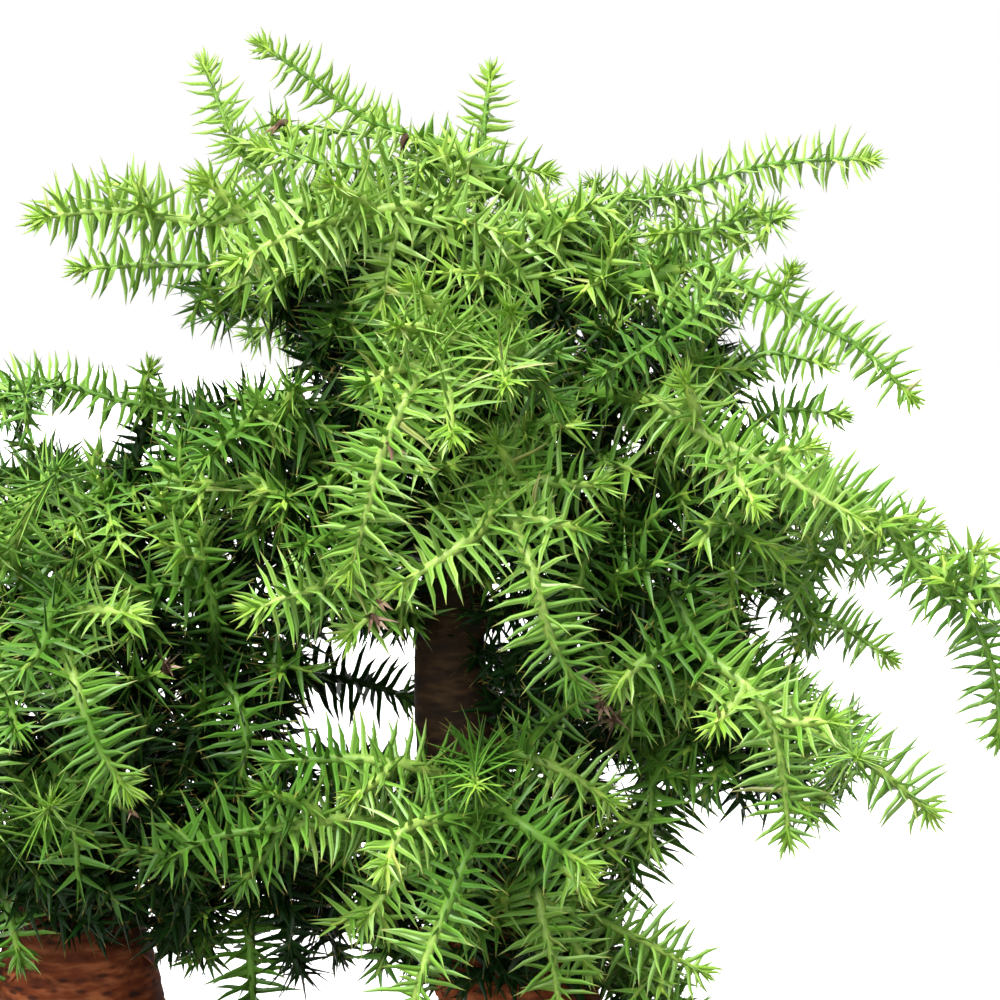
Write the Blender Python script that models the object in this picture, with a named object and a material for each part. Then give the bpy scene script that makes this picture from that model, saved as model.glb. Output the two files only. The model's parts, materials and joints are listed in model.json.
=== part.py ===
"""Hoop pine bonsai: two trees in one shallow pot, with drooping needled shoots. Metres, +Z up.

Sizes and places below are in millimetres and become metres through MM. Their zero is the middle
of the pot's footprint, on the surface that it stands on, and +Y points away from the tree's front.
When all is built it moves sideways, so that the origin is under the middle of pot and foliage.
"""

import math
import random

import bmesh
import bpy
import numpy as np
from mathutils import Matrix, Vector
from mathutils.bvhtree import BVHTree

MM = 0.001
GAP = 0.35
UP = Vector((0, 0, 1))
DICE = random.Random(27)

# The front that the tree is styled for. Places marked "seen" are given as (across, height, depth):
# across and height as they look in the plane of the trunks, depth behind that plane.
VIEW_DISTANCE = 800.0
VIEW_ACROSS = 36.4
VIEW_HEIGHT = 230.0
VIEW_RISE = math.radians(5)

# Pot, a rounded rectangle of unglazed stoneware on four feet
POT_LENGTH = 300.0
POT_WIDTH = 190.0
POT_CORNER = 26.0
POT_HEIGHT = 52.0
POT_WALL = 7.0
POT_TAPER = 11.0
FOOT_HEIGHT = 8.0
FOOT_LENGTH = 46.0
FOOT_WIDTH = 18.0
FOOT_CORNER = 6.0
FOOT_IN = (34.0, 15.0)
FLOOR_THICK = 8.0
LIP_HEIGHT = 7.0
LIP_PROUD = 3.0
CORNER_STEPS = 4
FOOT_STEPS = 2
DRAIN_RADIUS = 9.0
DRAIN_ACROSS = 70.0
FLOOR_TOP = FOOT_HEIGHT + FLOOR_THICK
SCREEN_SIDE = 27.0
SCREEN_THICK = 0.9
SCREEN_MESH = 3
SCREEN_BAR = 1.4

# Soil
SOIL_EDGE = POT_HEIGHT - 4.0
SOIL_DOME = 9.0
ROOT_FOOT = 40.0

# Shoots and needles
NEEDLE_LENGTH = 13.5
NEEDLE_LEAN = math.radians(62)
LENGTH_SPREAD = (0.9, 1.06)
LEAN_SPREAD = 5.0
TURN_SPREAD = 6.0
TIP_ZONE = 12.0
TIP_LENGTH_SHARE = 0.5
TIP_LEAN_SHARE = 0.52
STEM_RADIUS = 1.7
TIP_RADIUS = 0.85
ROOT_RADIUS = 0.45
STEM_SIDES = 3
RING_TWIST = math.radians(40)
PITCH = 6.5
FAN_PITCH = 9.0
TIP_RINGS = (5.4, 1.2)
BARE_BASE = 3.0
BUD_LENGTH = 4.0
LEAVE_LEAN = 0.5
MAIN_START = 5.0
SIDE_START = 4.0
CLEAR_STEP = 0.1
STEM_CLEARANCE = 4.0
NEAR_ROOT = 5.0
SHIFTS = (0, 3, 5, 7, 9, 12, 15)
NEEDLE_CLEARANCE = 0.3
TRIES = ((0, 0, 1), (-14, 0, 1), (12, 0, 1), (0, 18, 1), (0, -18, 1), (0, 0, 0.7))

# Trunks: (across, depth, height, radius) of the centre line
RIGHT_TRUNK = (
    (46, 0, ROOT_FOOT, 27), (45.5, 0, 56, 26), (44, 0, 76, 23.5), (41, 0, 102, 21), (36, -1, 126, 17.5),
    (29, -2, 150, 13), (24, -2, 178, 10), (24, -1, 206, 8.6), (30, 0, 236, 7.2),
    (41, 2, 262, 5.8), (50, 3, 286, 4.4), (55, 4, 306, 3.2),
)
RIGHT_LEADER = ((27, -1, 222, 6.6), (18, -2, 248, 5.4), (9, -2, 274, 4.4), (4, -2, 300, 3.2))
LEFT_TRUNK = (
    (-69, 8, ROOT_FOOT, 25), (-69.5, 8, 56, 24), (-71, 7, 78, 22.5), (-72, 6, 104, 21), (-75, 5, 124, 16),
    (-76, 4, 148, 11.5), (-73, 3, 178, 8.6), (-67, 2, 206, 6.4), (-62, 2, 232, 4.6), (-60, 3, 250, 3.2),
)
TRUNK_SIDES = 14
LEADER_SIDES = 8
ROOT_LOBES = 5
ROOT_SPREAD = 0.16
ROOT_SWELL = 0.22
ROOT_FADE = 62.0

# Limbs of bare wood: trunk, height at which it leaves, seen place of its end
LIMBS = {
    "crown_left": ("leader", 290, (-8, 304, -14)),
    "crown_front": ("leader", 282, (14, 303, -26)),
    "crown_bridge": ("right", 298, (14, 324, -8)),
    "crown_back": ("right", 292, (34, 312, 34)),
    "top_right_back": ("right", 284, (72, 307, 26)),
    "top_right": ("right", 272, (84, 290, -18)),
    "upper_right": ("right", 252, (74, 256, -36)),
    "upper_front": ("right", 226, (31, 268, -52)),
    "mid_front": ("right", 204, (35, 234, -56)),
    "mid_right": ("right", 196, (76, 205, -34)),
    "mid_right_back": ("right", 214, (86, 216, 28)),
    "low_right": ("right", 162, (70, 166, -12)),
    "low_front": ("right", 138, (30, 156, -48)),
    "mid_left": ("leader", 236, (-18, 243, -14)),
    "mid_left_back": ("leader", 256, (6, 262, 40)),
    "back_low": ("right", 156, (46, 172, 52)),
    "back_mid": ("right", 200, (20, 212, 56)),
    "back_high": ("leader", 268, (14, 284, 46)),
    "left_front": ("left", 166, (-76, 205, -52)),
    "left_outer": ("left", 182, (-110, 206, -14)),
    "left_inner": ("left", 172, (-44, 186, -14)),
    "left_top": ("left", 226, (-52, 258, 12)),
    "left_low_outer": ("left", 130, (-108, 142, -22)),
    "left_low_inner": ("left", 128, (-42, 140, -8)),
    "left_back": ("left", 160, (-78, 182, 54)),
    "left_back_high": ("left", 200, (-94, 226, 36)),
}
LIMB_SIDES = 5
LIMB_BASE_RADIUS = 4.2
LIMB_END_RADIUS = 1.9
LIMB_RING_STEP = 20.0
LIMB_ARCH = 0.07
LIMB_LAST_SHARE = 0.985

# Sprays: limb, share of the limb's length where it starts, seen places that it passes and ends at,
# then its side shoots, each with the share of the spray's length where it starts
SPRAYS = {
    "front_droop": (
        "upper_front", 1.0,
        [(21, 270, -70), (12, 256, -84), (6, 243, -88), (2.5, 230, -88), (-3, 210, -86)],
        [(0.16, [(13.5, 286, -74)]), (0.24, [(9, 275, -86)]), (0.36, [(0, 259, -84)]),
         (0.3, [(24, 246, -92)])],
    ),
    "front_star": (
        "upper_front", 0.86, [(36, 270, -66), (38, 260, -92)],
        [(0.25, [(44, 268, -64), (53, 268.5, -66)]), (0.5, [(45, 262, -68), (53, 254, -66)]),
         (0.4, [(39, 280, -78)])],
    ),
    "front_droop_right": (
        "mid_front", 1.0, [(40, 224, -68), (44, 214, -76), (47, 203, -78), (50, 193, -76), (57, 181, -72)],
        [(0.18, [(30, 221, -80), (20, 214, -84), (9, 207, -84)]), (0.26, [(50, 224, -72), (60, 222, -70)])],
    ),
    "front_right_small": (
        "mid_front", 0.9, [(46, 235, -62), (55, 234, -62), (64, 234, -58)],
        [(0.3, [(35, 246, -66)])],
    ),
    "crown_left_long": (
        "crown_left", 1.0, [(-36, 302, -16), (-65, 305, -20), (-83, 303, -22)],
        [(0.3, [(-40, 314, -22)])],
    ),
    "crown_left_under": (
        "crown_left", 0.7, [(-14, 292, 0), (-36, 291, 2), (-55, 291, 2), (-73, 290, 0)],
        [(0.12, [(-6, 280, -8), (-12, 268, -12)]), (0.3, [(-26, 294, 14), (-36, 297, 24)])],
    ),
    "crown_front_left": (
        "crown_front", 1.0, [(-3, 303, -36), (-17, 299, -44), (-33, 291, -50)],
        [(0.3, [(-8, 312, -46)])],
    ),
    "crown_upright": (
        "crown_left", 0.6, [(-14, 305, 22), (-30, 320, 34), (-40, 343, 40)],
        [(0.25, [(-30, 306, 30), (-42, 310, 32)])],
    ),
    "crown_long": (
        "crown_bridge", 1.0, [(2.6, 328, -10), (-15.6, 341, -14), (-26, 348, -16)], [],
    ),
    "crown_mass": (
        "crown_bridge", 0.75, [(14, 316, 8), (-8, 317, 12), (-26, 321, 14)],
        [(0.35, [(4, 330, 18)]), (0.1, [(18, 304, 16), (28, 296, 22)])],
    ),
    "crown_upright_back": (
        "crown_back", 1.0, [(32, 322, 42), (34, 341, 45)],
        [(0.2, [(50, 314, 44)]), (0.12, [(24, 306, 40), (20, 294, 40)])],
    ),
    "right_back_long": (
        "top_right_back", 1.0, [(82, 310, 34), (102, 316, 42), (120, 318, 46), (133, 318, 48)],
        [(0.2, [(80, 298, 44)]), (0.12, [(66, 308, 14), (60, 312, 2)])],
    ),
    "top_right_hook": (
        "top_right", 0.8, [(86, 297, -14), (98, 303, -8), (110, 304, -4)],
        [(0.3, [(76, 299, -26)]), (0.12, [(70, 282, -4), (62, 270, 2)])],
    ),
    "right_arch": (
        "top_right", 1.0, [(102, 284, -24), (116, 277, -28), (129, 270, -30), (144, 256, -30)],
        [(0.35, [(112, 290, -34)]), (0.14, [(84, 276, -32), (72, 268, -38), (62, 262, -42)])],
    ),
    "right_back_pair": (
        "mid_right_back", 0.7, [(92, 240, 30), (108, 253, 30), (126, 252, 28)],
        [(0.35, [(98, 262, 34), (104, 268, 36), (122, 265, 34)]), (0.5, [(119, 240, 38)]),
         (0.25, [(78, 250, 26), (72, 262, 22)])],
    ),
    "right_front_big": (
        "upper_right", 1.0, [(90, 247, -42), (104, 240, -46), (119, 231, -50), (130, 225, -52)],
        [(0.2, [(84, 262, -52)]), (0.4, [(103, 228, -56)]), (0.55, [(118, 244, -44)])],
    ),
    "right_far_arch": (
        "upper_right", 0.8,
        [(90, 240, -22), (116, 236, -30), (134, 226, -34), (149, 208, -34), (160, 198, -32),
         (166, 182, -30), (167, 166, -28)],
        [(0.55, [(150, 222, -30)]), (0.36, [(126, 222, -24)])],
    ),
    "right_inner_droop": (
        "mid_right", 0.75, [(76, 226, -22), (88, 230, -22), (95, 220, -24), (100, 209, -24)],
        [(0.25, [(66, 228, -26)]), (0.14, [(60, 216, -34), (56, 204, -36)])],
    ),
    "right_low_back": (
        "mid_right_back", 1.0, [(110, 204, 32), (122, 199, 32), (139, 188, 30)],
        [(0.3, [(112, 218, 40)]), (0.14, [(90, 202, 28), (86, 190, 26)])],
    ),
    "right_low_front": (
        "mid_right", 1.0,
        [(90, 190, -44), (102, 180, -50), (108, 170, -52), (111, 155, -52), (112, 140, -50)],
        [(0.45, [(92, 170, -58)]), (0.6, [(124, 172, -58)]), (0.2, [(74, 188, -48), (66, 180, -50)])],
    ),
    "right_rosette": (
        "mid_right", 0.9, [(104, 184, -22), (118, 170, -36), (127, 164, -54), (130, 162, -72)],
        [(0.35, [(124, 168, -26), (138, 157, -24), (150, 147, -22)]),
         (0.16, [(92, 178, -12), (94, 162, -10)])],
    ),
    "low_right_dark": (
        "low_right", 1.0, [(84, 160, -8), (79, 146, -6), (73, 136, -6), (65, 122, -6)],
        [(0.25, [(98, 164, 4)]), (0.12, [(72, 176, 4), (64, 186, 8)])],
    ),
    "low_right_tip": (
        "low_right", 0.55, [(54, 140, -34), (60, 122, -34), (75, 113, -30), (90, 105, -28)], [],
    ),
    "bottom_mid": (
        "low_front", 0.6, [(44, 134, -46), (48, 118, -52), (51, 105, -52), (52, 92, -50)],
        [(0.3, [(59, 128, -56)]), (0.5, [(60, 106, -46)])],
    ),
    "bottom_front": (
        "low_front", 1.0, [(31, 146, -66), (25, 129, -78), (19, 114, -82), (15, 102, -82), (12, 88, -80)],
        [(0.2, [(44, 143, -72), (60, 133, -72)]), (0.26, [(11, 143, -80), (6, 132, -84)])],
    ),
    "low_left_upper": (
        "low_front", 0.85, [(14, 160, -48), (-4, 162, -50), (-24, 161, -50)],
        [(0.4, [(-2, 152, -58)])],
    ),
    "low_left_long": (
        "low_front", 0.7,
        [(14, 143, -40), (-3, 146, -48), (-18, 144, -52), (-39, 141, -54), (-53, 134, -54)],
        [(0.5, [(-26, 154, -60)]), (0.14, [(8, 128, -42), (0, 118, -42)]), (0.62, [(-32, 128, -50)])],
    ),
    "low_right_front": (
        "low_front", 0.9, [(40, 163, -50), (48, 161, -52), (56, 157, -52), (66, 150, -50)],
        [(0.2, [(50, 172, -54), (58, 178, -58)])],
    ),
    "low_front_star": (
        "low_front", 0.95, [(30, 161, -64), (30, 154, -88)], [],
    ),
    "inner_left": (
        "mid_left", 0.6, [(-8, 226, -22), (-19, 234, -28), (-37, 232, -30)],
        [(0.5, [(-28, 222, -26)]), (0.16, [(-6, 214, -18), (-14, 204, -20)])],
    ),
    "mid_left_small": (
        "mid_left", 1.0, [(-26, 253, -30), (-32, 248, -38), (-41, 240, -44)],
        [(0.4, [(-16, 260, -44)])],
    ),
    "mid_left_low": (
        "mid_left", 0.4, [(2, 218, -40), (-9, 208, -52), (-18, 205, -56), (-29, 201, -56)],
        [(0.45, [(-16, 218, -60)]), (0.3, [(4, 202, -46), (-4, 194, -48)])],
    ),
    "left_top_branch": (
        "mid_left", 0.85, [(-26, 256, 2), (-42, 253, 4), (-62, 256, 4), (-83, 261, 4), (-104, 257, 4)],
        [(0.5, [(-54, 265, 0)]), (0.2, [(-30, 240, 8), (-32, 224, 10)]),
         (0.36, [(-46, 242, 0), (-50, 228, -4)])],
    ),
    "left_inner_cross": (
        "left_inner", 0.8, [(-25, 182, 18), (-5, 183, 26), (14, 178, 28)],
        [(0.12, [(-38, 196, 10), (-38, 212, 10)]), (0.3, [(-22, 168, 20), (-24, 154, 20)])],
    ),
    "left_rosette": (
        "left_front", 0.8, [(-90, 214, -54), (-87, 226, -62), (-82, 233, -74), (-78, 238, -90)],
        [(0.3, [(-98, 226, -66)])],
    ),
    "left_droop": (
        "left_front", 1.0, [(-77, 193, -68), (-74, 180, -78), (-69, 166, -80), (-61, 153, -78)],
        [(0.16, [(-84, 190, -80), (-90, 184, -82)]), (0.2, [(-66, 201, -72), (-59, 200, -74)])],
    ),
    "left_inner_low": (
        "left_inner", 1.0, [(-34, 180, -26), (-30, 168, -34), (-32, 154, -36)],
        [(0.2, [(-40, 170, -18), (-46, 158, -18)]), (0.14, [(-38, 200, -24), (-42, 216, -26)])],
    ),
    "left_edge": (
        "left_outer", 0.6, [(-98, 190, -36), (-101, 170, -50), (-100, 148, -54)],
        [(0.4, [(-90, 168, -56)])],
    ),
    "left_low_front": (
        "left_low_outer", 0.6, [(-88, 138, -36), (-84, 146, -50), (-81, 150, -64)],
        [(0.4, [(-98, 146, -56)])],
    ),
    "left_bottom_hang": (
        "left_low_inner", 1.0, [(-32, 134, -12), (-30, 121, -14), (-29, 104, -14), (-28.5, 88, -12)],
        [(0.2, [(-42, 128, -10), (-46, 116, -8)])],
    ),
    "left_bottom_back": (
        "left_low_inner", 0.8, [(-24, 136, 24), (-13, 122, 42), (-5, 109, 46)],
        [(0.4, [(-2, 130, 38), (6, 120, 40)]), (0.15, [(-36, 150, 10), (-38, 164, 8)])],
    ),
    "left_bark_tip": (
        "left_low_outer", 0.7, [(-95, 130, -24), (-92, 118, -30), (-90, 108, -30)], [],
    ),
}

# Fans of shoots on the limbs that the front doesn't show: limb, and how many main shoots
FANS = {
    "back_low": 2, "back_mid": 2, "back_high": 2, "mid_left_back": 1, "left_back": 2, "left_back_high": 1,
    "left_outer": 1, "left_low_outer": 1,
}
FAN_LENGTH = (56, 84)
FAN_SPREAD = 56
FAN_SHARES = (1.0, 0.9)
FAN_DROOP = 0.21
FAN_RISE = 0.12
FAN_TURN_SPREAD = 8
FAN_BENDS = (0.45, 0.8)
FAN_SIDE_SHARES = (0.3, 0.54)
FAN_SIDE_LENGTH = (0.36, 0.5)

COLOURS = {
    "stoneware": ((0.115, 0.052, 0.032), 0.78),
    "plastic_mesh": ((0.02, 0.022, 0.02), 0.6),
    "soil": ((0.075, 0.048, 0.03), 0.95),
    "bark": ((0.165, 0.075, 0.042), 0.85),
    "foliage": ((0.13, 0.25, 0.045), 0.5),
}


def seen(across, height, depth):
    """The point that looks to be at this place across and up, from the front, and lies this deep."""
    back = VIEW_DISTANCE * math.cos(VIEW_RISE)
    eye = Vector((VIEW_ACROSS, -back, VIEW_HEIGHT + VIEW_DISTANCE * math.sin(VIEW_RISE)))
    plane = Vector((across, 0, height))
    return (eye + (plane - eye) * (1 + depth / back)) * MM


def smooth_path(points, steps=10):
    """A centripetal Catmull-Rom curve through the points, as a list of points close together."""
    ends = [points[0] * 2 - points[1], *points, points[-1] * 2 - points[-2]]
    path = []
    for p0, p1, p2, p3 in zip(ends, ends[1:], ends[2:], ends[3:]):
        t1 = (p1 - p0).length ** 0.5
        t2 = t1 + (p2 - p1).length ** 0.5
        t3 = t2 + (p3 - p2).length ** 0.5
        for step in range(steps):
            t = t1 + (t2 - t1) * step / steps
            middle = p1.lerp(p2, (t - t1) / (t2 - t1))
            first = p0.lerp(p1, t / t1).lerp(middle, t / t2)
            last = middle.lerp(p2.lerp(p3, (t - t2) / (t3 - t2)), (t - t1) / (t3 - t1))
            path.append(first.lerp(last, (t - t1) / (t2 - t1)))
    return [*path, points[-1].copy()]


class Path:
    """A line through space that is read by its length from the start."""

    def __init__(self, points):
        self.points = np.array([tuple(p) for p in points])
        steps = np.linalg.norm(np.diff(self.points, axis=0), axis=1)
        self.marks = np.concatenate([[0], np.cumsum(steps)])
        self.length = float(self.marks[-1])

    def at(self, length):
        return Vector([float(np.interp(length, self.marks, self.points[:, i])) for i in range(3)])

    def tangent(self, length):
        step = 0.8 * MM
        return (self.at(length + step) - self.at(length - step)).normalized()

    def nearest(self, point):
        """Length along the path of its point nearest to this one."""
        found = np.linalg.norm(self.points - np.array(point), axis=1).argmin()
        return float(self.marks[found])


def material(name):
    made = bpy.data.materials.get(name)
    if made:
        return made
    made = bpy.data.materials.new(name)
    made.use_nodes = True
    colour, roughness = COLOURS[name]
    shader = made.node_tree.nodes["Principled BSDF"]
    shader.inputs["Base Color"].default_value = (*colour, 1)
    shader.inputs["Roughness"].default_value = roughness
    shader.inputs["Metallic"].default_value = 0
    return made


def collection(name, parent=None):
    made = bpy.data.collections.new(name)
    (parent or bpy.context.scene.collection).children.link(made)
    return made


def new_object(name, mesh, group, finish=None):
    obj = bpy.data.objects.new(name, mesh)
    group.objects.link(obj)
    if finish:
        mesh.materials.clear()
        mesh.materials.append(material(finish))
    return obj


def mesh_of(bm, name):
    mesh = bpy.data.meshes.new(name)
    bmesh.ops.recalc_face_normals(bm, faces=bm.faces)
    bm.to_mesh(mesh)
    bm.free()
    return mesh


def evaluated_mesh(obj):
    graph = bpy.context.evaluated_depsgraph_get()
    return bpy.data.meshes.new_from_object(obj.evaluated_get(graph))


def combine(obj, others, operation, solver="EXACT"):
    """Joins the other objects to this one, or cuts them from it, and removes them."""
    tools = collection("tools of " + obj.name)
    for other in others:
        for group in other.users_collection:
            group.objects.unlink(other)
        tools.objects.link(other)
    step = obj.modifiers.new(operation.lower(), "BOOLEAN")
    step.operation = operation
    step.operand_type = "COLLECTION"
    step.collection = tools
    step.solver = solver
    made = evaluated_mesh(obj)
    obj.modifiers.clear()
    old, obj.data = obj.data, made
    bpy.data.meshes.remove(old)
    for other in others:
        bpy.data.objects.remove(other)
    bpy.data.collections.remove(tools)
    return obj


def ring_profile(sides):
    """A regular outline of unit radius in millimetres, to bevel a tube with."""
    name = f"profile of {sides} sides"
    made = bpy.data.objects.get(name)
    if made:
        return made
    curve = bpy.data.curves.new(name, "CURVE")
    curve.dimensions = "2D"
    spline = curve.splines.new("POLY")
    spline.points.add(sides - 1)
    spline.use_cyclic_u = True
    for index, point in enumerate(spline.points):
        angle = index / sides * 2 * math.pi
        point.co = (math.cos(angle) * MM, math.sin(angle) * MM, 0, 1)
    return bpy.data.objects.new(name, curve)


def keep_largest(mesh):
    """Drops the crumbs that a join can leave beside the one body, and leaves only triangles."""
    bm = bmesh.new()
    bm.from_mesh(mesh)
    loose = set(bm.verts)
    bodies = []
    while loose:
        body = set()
        frontier = [loose.pop()]
        while frontier:
            vert = frontier.pop()
            body.add(vert)
            fresh = {link.other_vert(vert) for link in vert.link_edges} & loose
            loose -= fresh
            frontier.extend(fresh)
        bodies.append(body)
    bodies.sort(key=len)
    for body in bodies[:-1]:
        bmesh.ops.delete(bm, geom=list(body), context="VERTS")
    bmesh.ops.triangulate(bm, faces=bm.faces)
    bm.to_mesh(mesh)
    bm.free()


def tube(name, path, radii, group, sides, tilts=None):
    """A mesh tube along the points, from a curve with a bevel outline and filled caps."""
    curve = bpy.data.curves.new(name, "CURVE")
    curve.dimensions = "3D"
    curve.bevel_mode = "OBJECT"
    curve.bevel_object = ring_profile(sides)
    curve.use_fill_caps = True
    spline = curve.splines.new("POLY")
    spline.points.add(len(path) - 1)
    for index, (point, place, radius) in enumerate(zip(spline.points, path, radii)):
        point.co = (*place, 1)
        point.radius = radius
        point.tilt = tilts[index] if tilts else 0
    holder = bpy.data.objects.new(name, curve)
    group.objects.link(holder)
    bpy.context.view_layer.update()
    mesh = evaluated_mesh(holder)
    bpy.data.objects.remove(holder)
    bpy.data.curves.remove(curve)
    bm = bmesh.new()
    bm.from_mesh(mesh)
    bmesh.ops.remove_doubles(bm, verts=bm.verts, dist=0.00001)
    bmesh.ops.recalc_face_normals(bm, faces=bm.faces)
    bm.to_mesh(mesh)
    bm.free()
    return bpy.data.objects.new(name, mesh)


def surface(obj):
    """The object's surface, for tests of what meets it."""
    bm = bmesh.new()
    bm.from_mesh(obj.data)
    tree = BVHTree.FromBMesh(bm)
    bm.free()
    corners = np.array([v.co for v in obj.data.vertices])
    return tree, corners.min(axis=0), corners.max(axis=0)


def rounded_outline(length, width, corner, steps=CORNER_STEPS):
    """Points of a rounded rectangle, anticlockwise, with the same count whatever its size."""
    points = []
    for quarter in range(4):
        turn = quarter * math.pi / 2
        side_x = 1 if quarter in (0, 3) else -1
        side_y = 1 if quarter in (0, 1) else -1
        middle = Vector((side_x * (length / 2 - corner), side_y * (width / 2 - corner)))
        for step in range(steps + 1):
            angle = turn + step / steps * math.pi / 2
            points.append(middle + corner * Vector((math.cos(angle), math.sin(angle))))
    return points


def loft(sections):
    """A closed skin over outlines with equal point counts, from the first to the last, capped."""
    bm = bmesh.new()
    rings = [[bm.verts.new(point * MM) for point in section] for section in sections]
    for low, high in zip(rings, rings[1:]):
        for index, vert in enumerate(low):
            following = (index + 1) % len(low)
            bm.faces.new((vert, low[following], high[following], high[index]))
    bm.faces.new(reversed(rings[0]))
    bm.faces.new(rings[-1])
    bmesh.ops.recalc_face_normals(bm, faces=bm.faces)
    return bm


def pot_outline(grow, height):
    """The pot's outline at a height, grown or shrunk from the rim's own outline."""
    outline = rounded_outline(POT_LENGTH + 2 * grow, POT_WIDTH + 2 * grow, POT_CORNER + grow)
    return [Vector((point.x, point.y, height)) for point in outline]


def wall_inset(height):
    """How far the outer wall stands inside the rim's outline at a height."""
    return LIP_PROUD + POT_TAPER * (1 - (height - FOOT_HEIGHT) / (POT_HEIGHT - FOOT_HEIGHT)) ** 1.4


def inner_profile():
    """The pot's inside from rim to floor: heights, and how far inside the rim's outline it stands."""
    heights = (POT_HEIGHT, POT_HEIGHT - 1.2, FLOOR_TOP + 15, FLOOR_TOP + 4, FLOOR_TOP)
    extra = (-1.2, 0, 0, 0, 3)
    return [(height, wall_inset(height) + POT_WALL + more) for height, more in zip(heights, extra)]


def inside_at(height):
    """How far inside the rim's outline the pot's inner face stands at any height."""
    rows = inner_profile()[::-1]
    return float(np.interp(height, [row[0] for row in rows], [row[1] for row in rows]))


def cylinder(name, radius, low, high, across, group):
    bm = bmesh.new()
    place = Matrix.Translation(Vector((across, 0, (low + high) / 2)) * MM)
    bmesh.ops.create_cone(bm, cap_ends=True, segments=16, radius1=radius * MM, radius2=radius * MM,
                          depth=(high - low) * MM, matrix=place)
    return new_object(name, mesh_of(bm, name), group)


def block(name, size, place, group):
    bm = bmesh.new()
    scale = Matrix.Diagonal((*(Vector(size) * MM), 1))
    bmesh.ops.create_cube(bm, size=1, matrix=Matrix.Translation(Vector(place) * MM) @ scale)
    return new_object(name, mesh_of(bm, name), group)


def build_pot(group, tools):
    lip_low = POT_HEIGHT - LIP_HEIGHT
    sections = [
        pot_outline(-wall_inset(height), height)
        for height in (FOOT_HEIGHT, FOOT_HEIGHT + 10, FOOT_HEIGHT + 24, lip_low - 2)
    ]
    for grow, height in ((-0.8, lip_low), (0, lip_low + 1.5), (0, POT_HEIGHT - 1.6), (-1.4, POT_HEIGHT)):
        sections.append(pot_outline(grow, height))
    sections += [pot_outline(-inset, height) for height, inset in inner_profile()]
    pot = new_object("pot", mesh_of(loft(sections), "pot"), group, "stoneware")
    feet = []
    foot_x = POT_LENGTH / 2 - wall_inset(FOOT_HEIGHT) - FOOT_IN[0]
    foot_y = POT_WIDTH / 2 - wall_inset(FOOT_HEIGHT) - FOOT_IN[1]
    for side_x in (-1, 1):
        for side_y in (-1, 1):
            outline = rounded_outline(FOOT_LENGTH, FOOT_WIDTH, FOOT_CORNER, FOOT_STEPS)
            middle = Vector((side_x * foot_x, side_y * foot_y, 0))
            rings = []
            for shrink, height in ((1.6, 0), (0.4, 1.2), (0, 4), (-1.5, FOOT_HEIGHT + 1)):
                share_x = 1 - 2 * shrink / FOOT_LENGTH
                share_y = 1 - 2 * shrink / FOOT_WIDTH
                rings.append([middle + Vector((p.x * share_x, p.y * share_y, height)) for p in outline])
            feet.append(new_object("foot", mesh_of(loft(rings), "foot"), tools))
    combine(pot, feet, "UNION")
    holes = []
    for side in (-1, 1):
        low = FOOT_HEIGHT - 2
        holes.append(cylinder("drain", DRAIN_RADIUS, low, FLOOR_TOP + 2, side * DRAIN_ACROSS, tools))
    combine(pot, holes, "DIFFERENCE")
    return pot


def build_screens(group, tools):
    """A square of plastic mesh over each drain hole, under the soil."""
    screens = []
    low = FLOOR_TOP + GAP
    for side, word in ((-1, "left"), (1, "right")):
        size = (SCREEN_SIDE, SCREEN_SIDE, SCREEN_THICK)
        middle = (side * DRAIN_ACROSS, 0, low + SCREEN_THICK / 2)
        screen = block("drain_mesh_" + word, size, middle, group)
        screen.data.materials.append(material("plastic_mesh"))
        cuts = []
        spacing = DRAIN_RADIUS * 2 / SCREEN_MESH
        hole = spacing - SCREEN_BAR
        for row in range(SCREEN_MESH):
            for column in range(SCREEN_MESH):
                place = (side * DRAIN_ACROSS + (row - 1) * spacing, (column - 1) * spacing, low)
                cuts.append(block("mesh_hole", (hole, hole, 6), place, tools))
        screens.append(combine(screen, cuts, "DIFFERENCE"))
    return screens


def trunk_section(across, depth, height, radius, grow):
    """One slice of a trunk, with root lobes that fade out above the soil."""
    fade = max(0.0, 1 - (height - ROOT_FOOT) / ROOT_FADE) ** 2
    points = []
    for index in range(TRUNK_SIDES):
        angle = index / TRUNK_SIDES * 2 * math.pi
        lobes = 1 + fade * ROOT_SPREAD * math.cos(ROOT_LOBES * angle + across)
        reach = radius * lobes * (1 + ROOT_SWELL * fade) + grow
        out = reach * Vector((math.cos(angle), math.sin(angle), 0))
        points.append(Vector((across, depth, height)) + out)
    return points


def trunk_solid(name, line, grow, group, lower=0.0, rows=None):
    """A trunk from its centre line, or its hole in the soil from the first rows, grown and lowered."""
    sections = [trunk_section(*place, grow) for place in line[:rows]]
    for point in sections[0]:
        point.z -= lower
    bm = loft(sections)
    bmesh.ops.triangulate(bm, faces=bm.faces, quad_method="FIXED")
    return new_object(name, mesh_of(bm, name), group)


def limb_path(limb, trunks):
    """From inside the trunk, out and over in a low arch, to the limb's end."""
    trunk, height, end = LIMBS[limb]
    line = np.array(trunks[trunk], float)
    start = Vector([float(np.interp(height, line[:, 2], line[:, i])) for i in (0, 1, 2)]) * MM
    reach = seen(*end) - start
    middle = start + reach * 0.5 + UP * reach.length * LIMB_ARCH
    return Path(smooth_path([start, middle, seen(*end)], 4))


def limb_solid(limb, path, group):
    count = max(3, round(path.length / (LIMB_RING_STEP * MM)) + 1)
    places = [path.at(path.length * i / (count - 1)) for i in range(count)]
    thinning = LIMB_END_RADIUS - LIMB_BASE_RADIUS
    radii = [LIMB_BASE_RADIUS + thinning * (i / (count - 1)) ** 0.7 for i in range(count)]
    obj = tube(limb, places, radii, group, LIMB_SIDES)
    group.objects.link(obj)
    return obj


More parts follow.
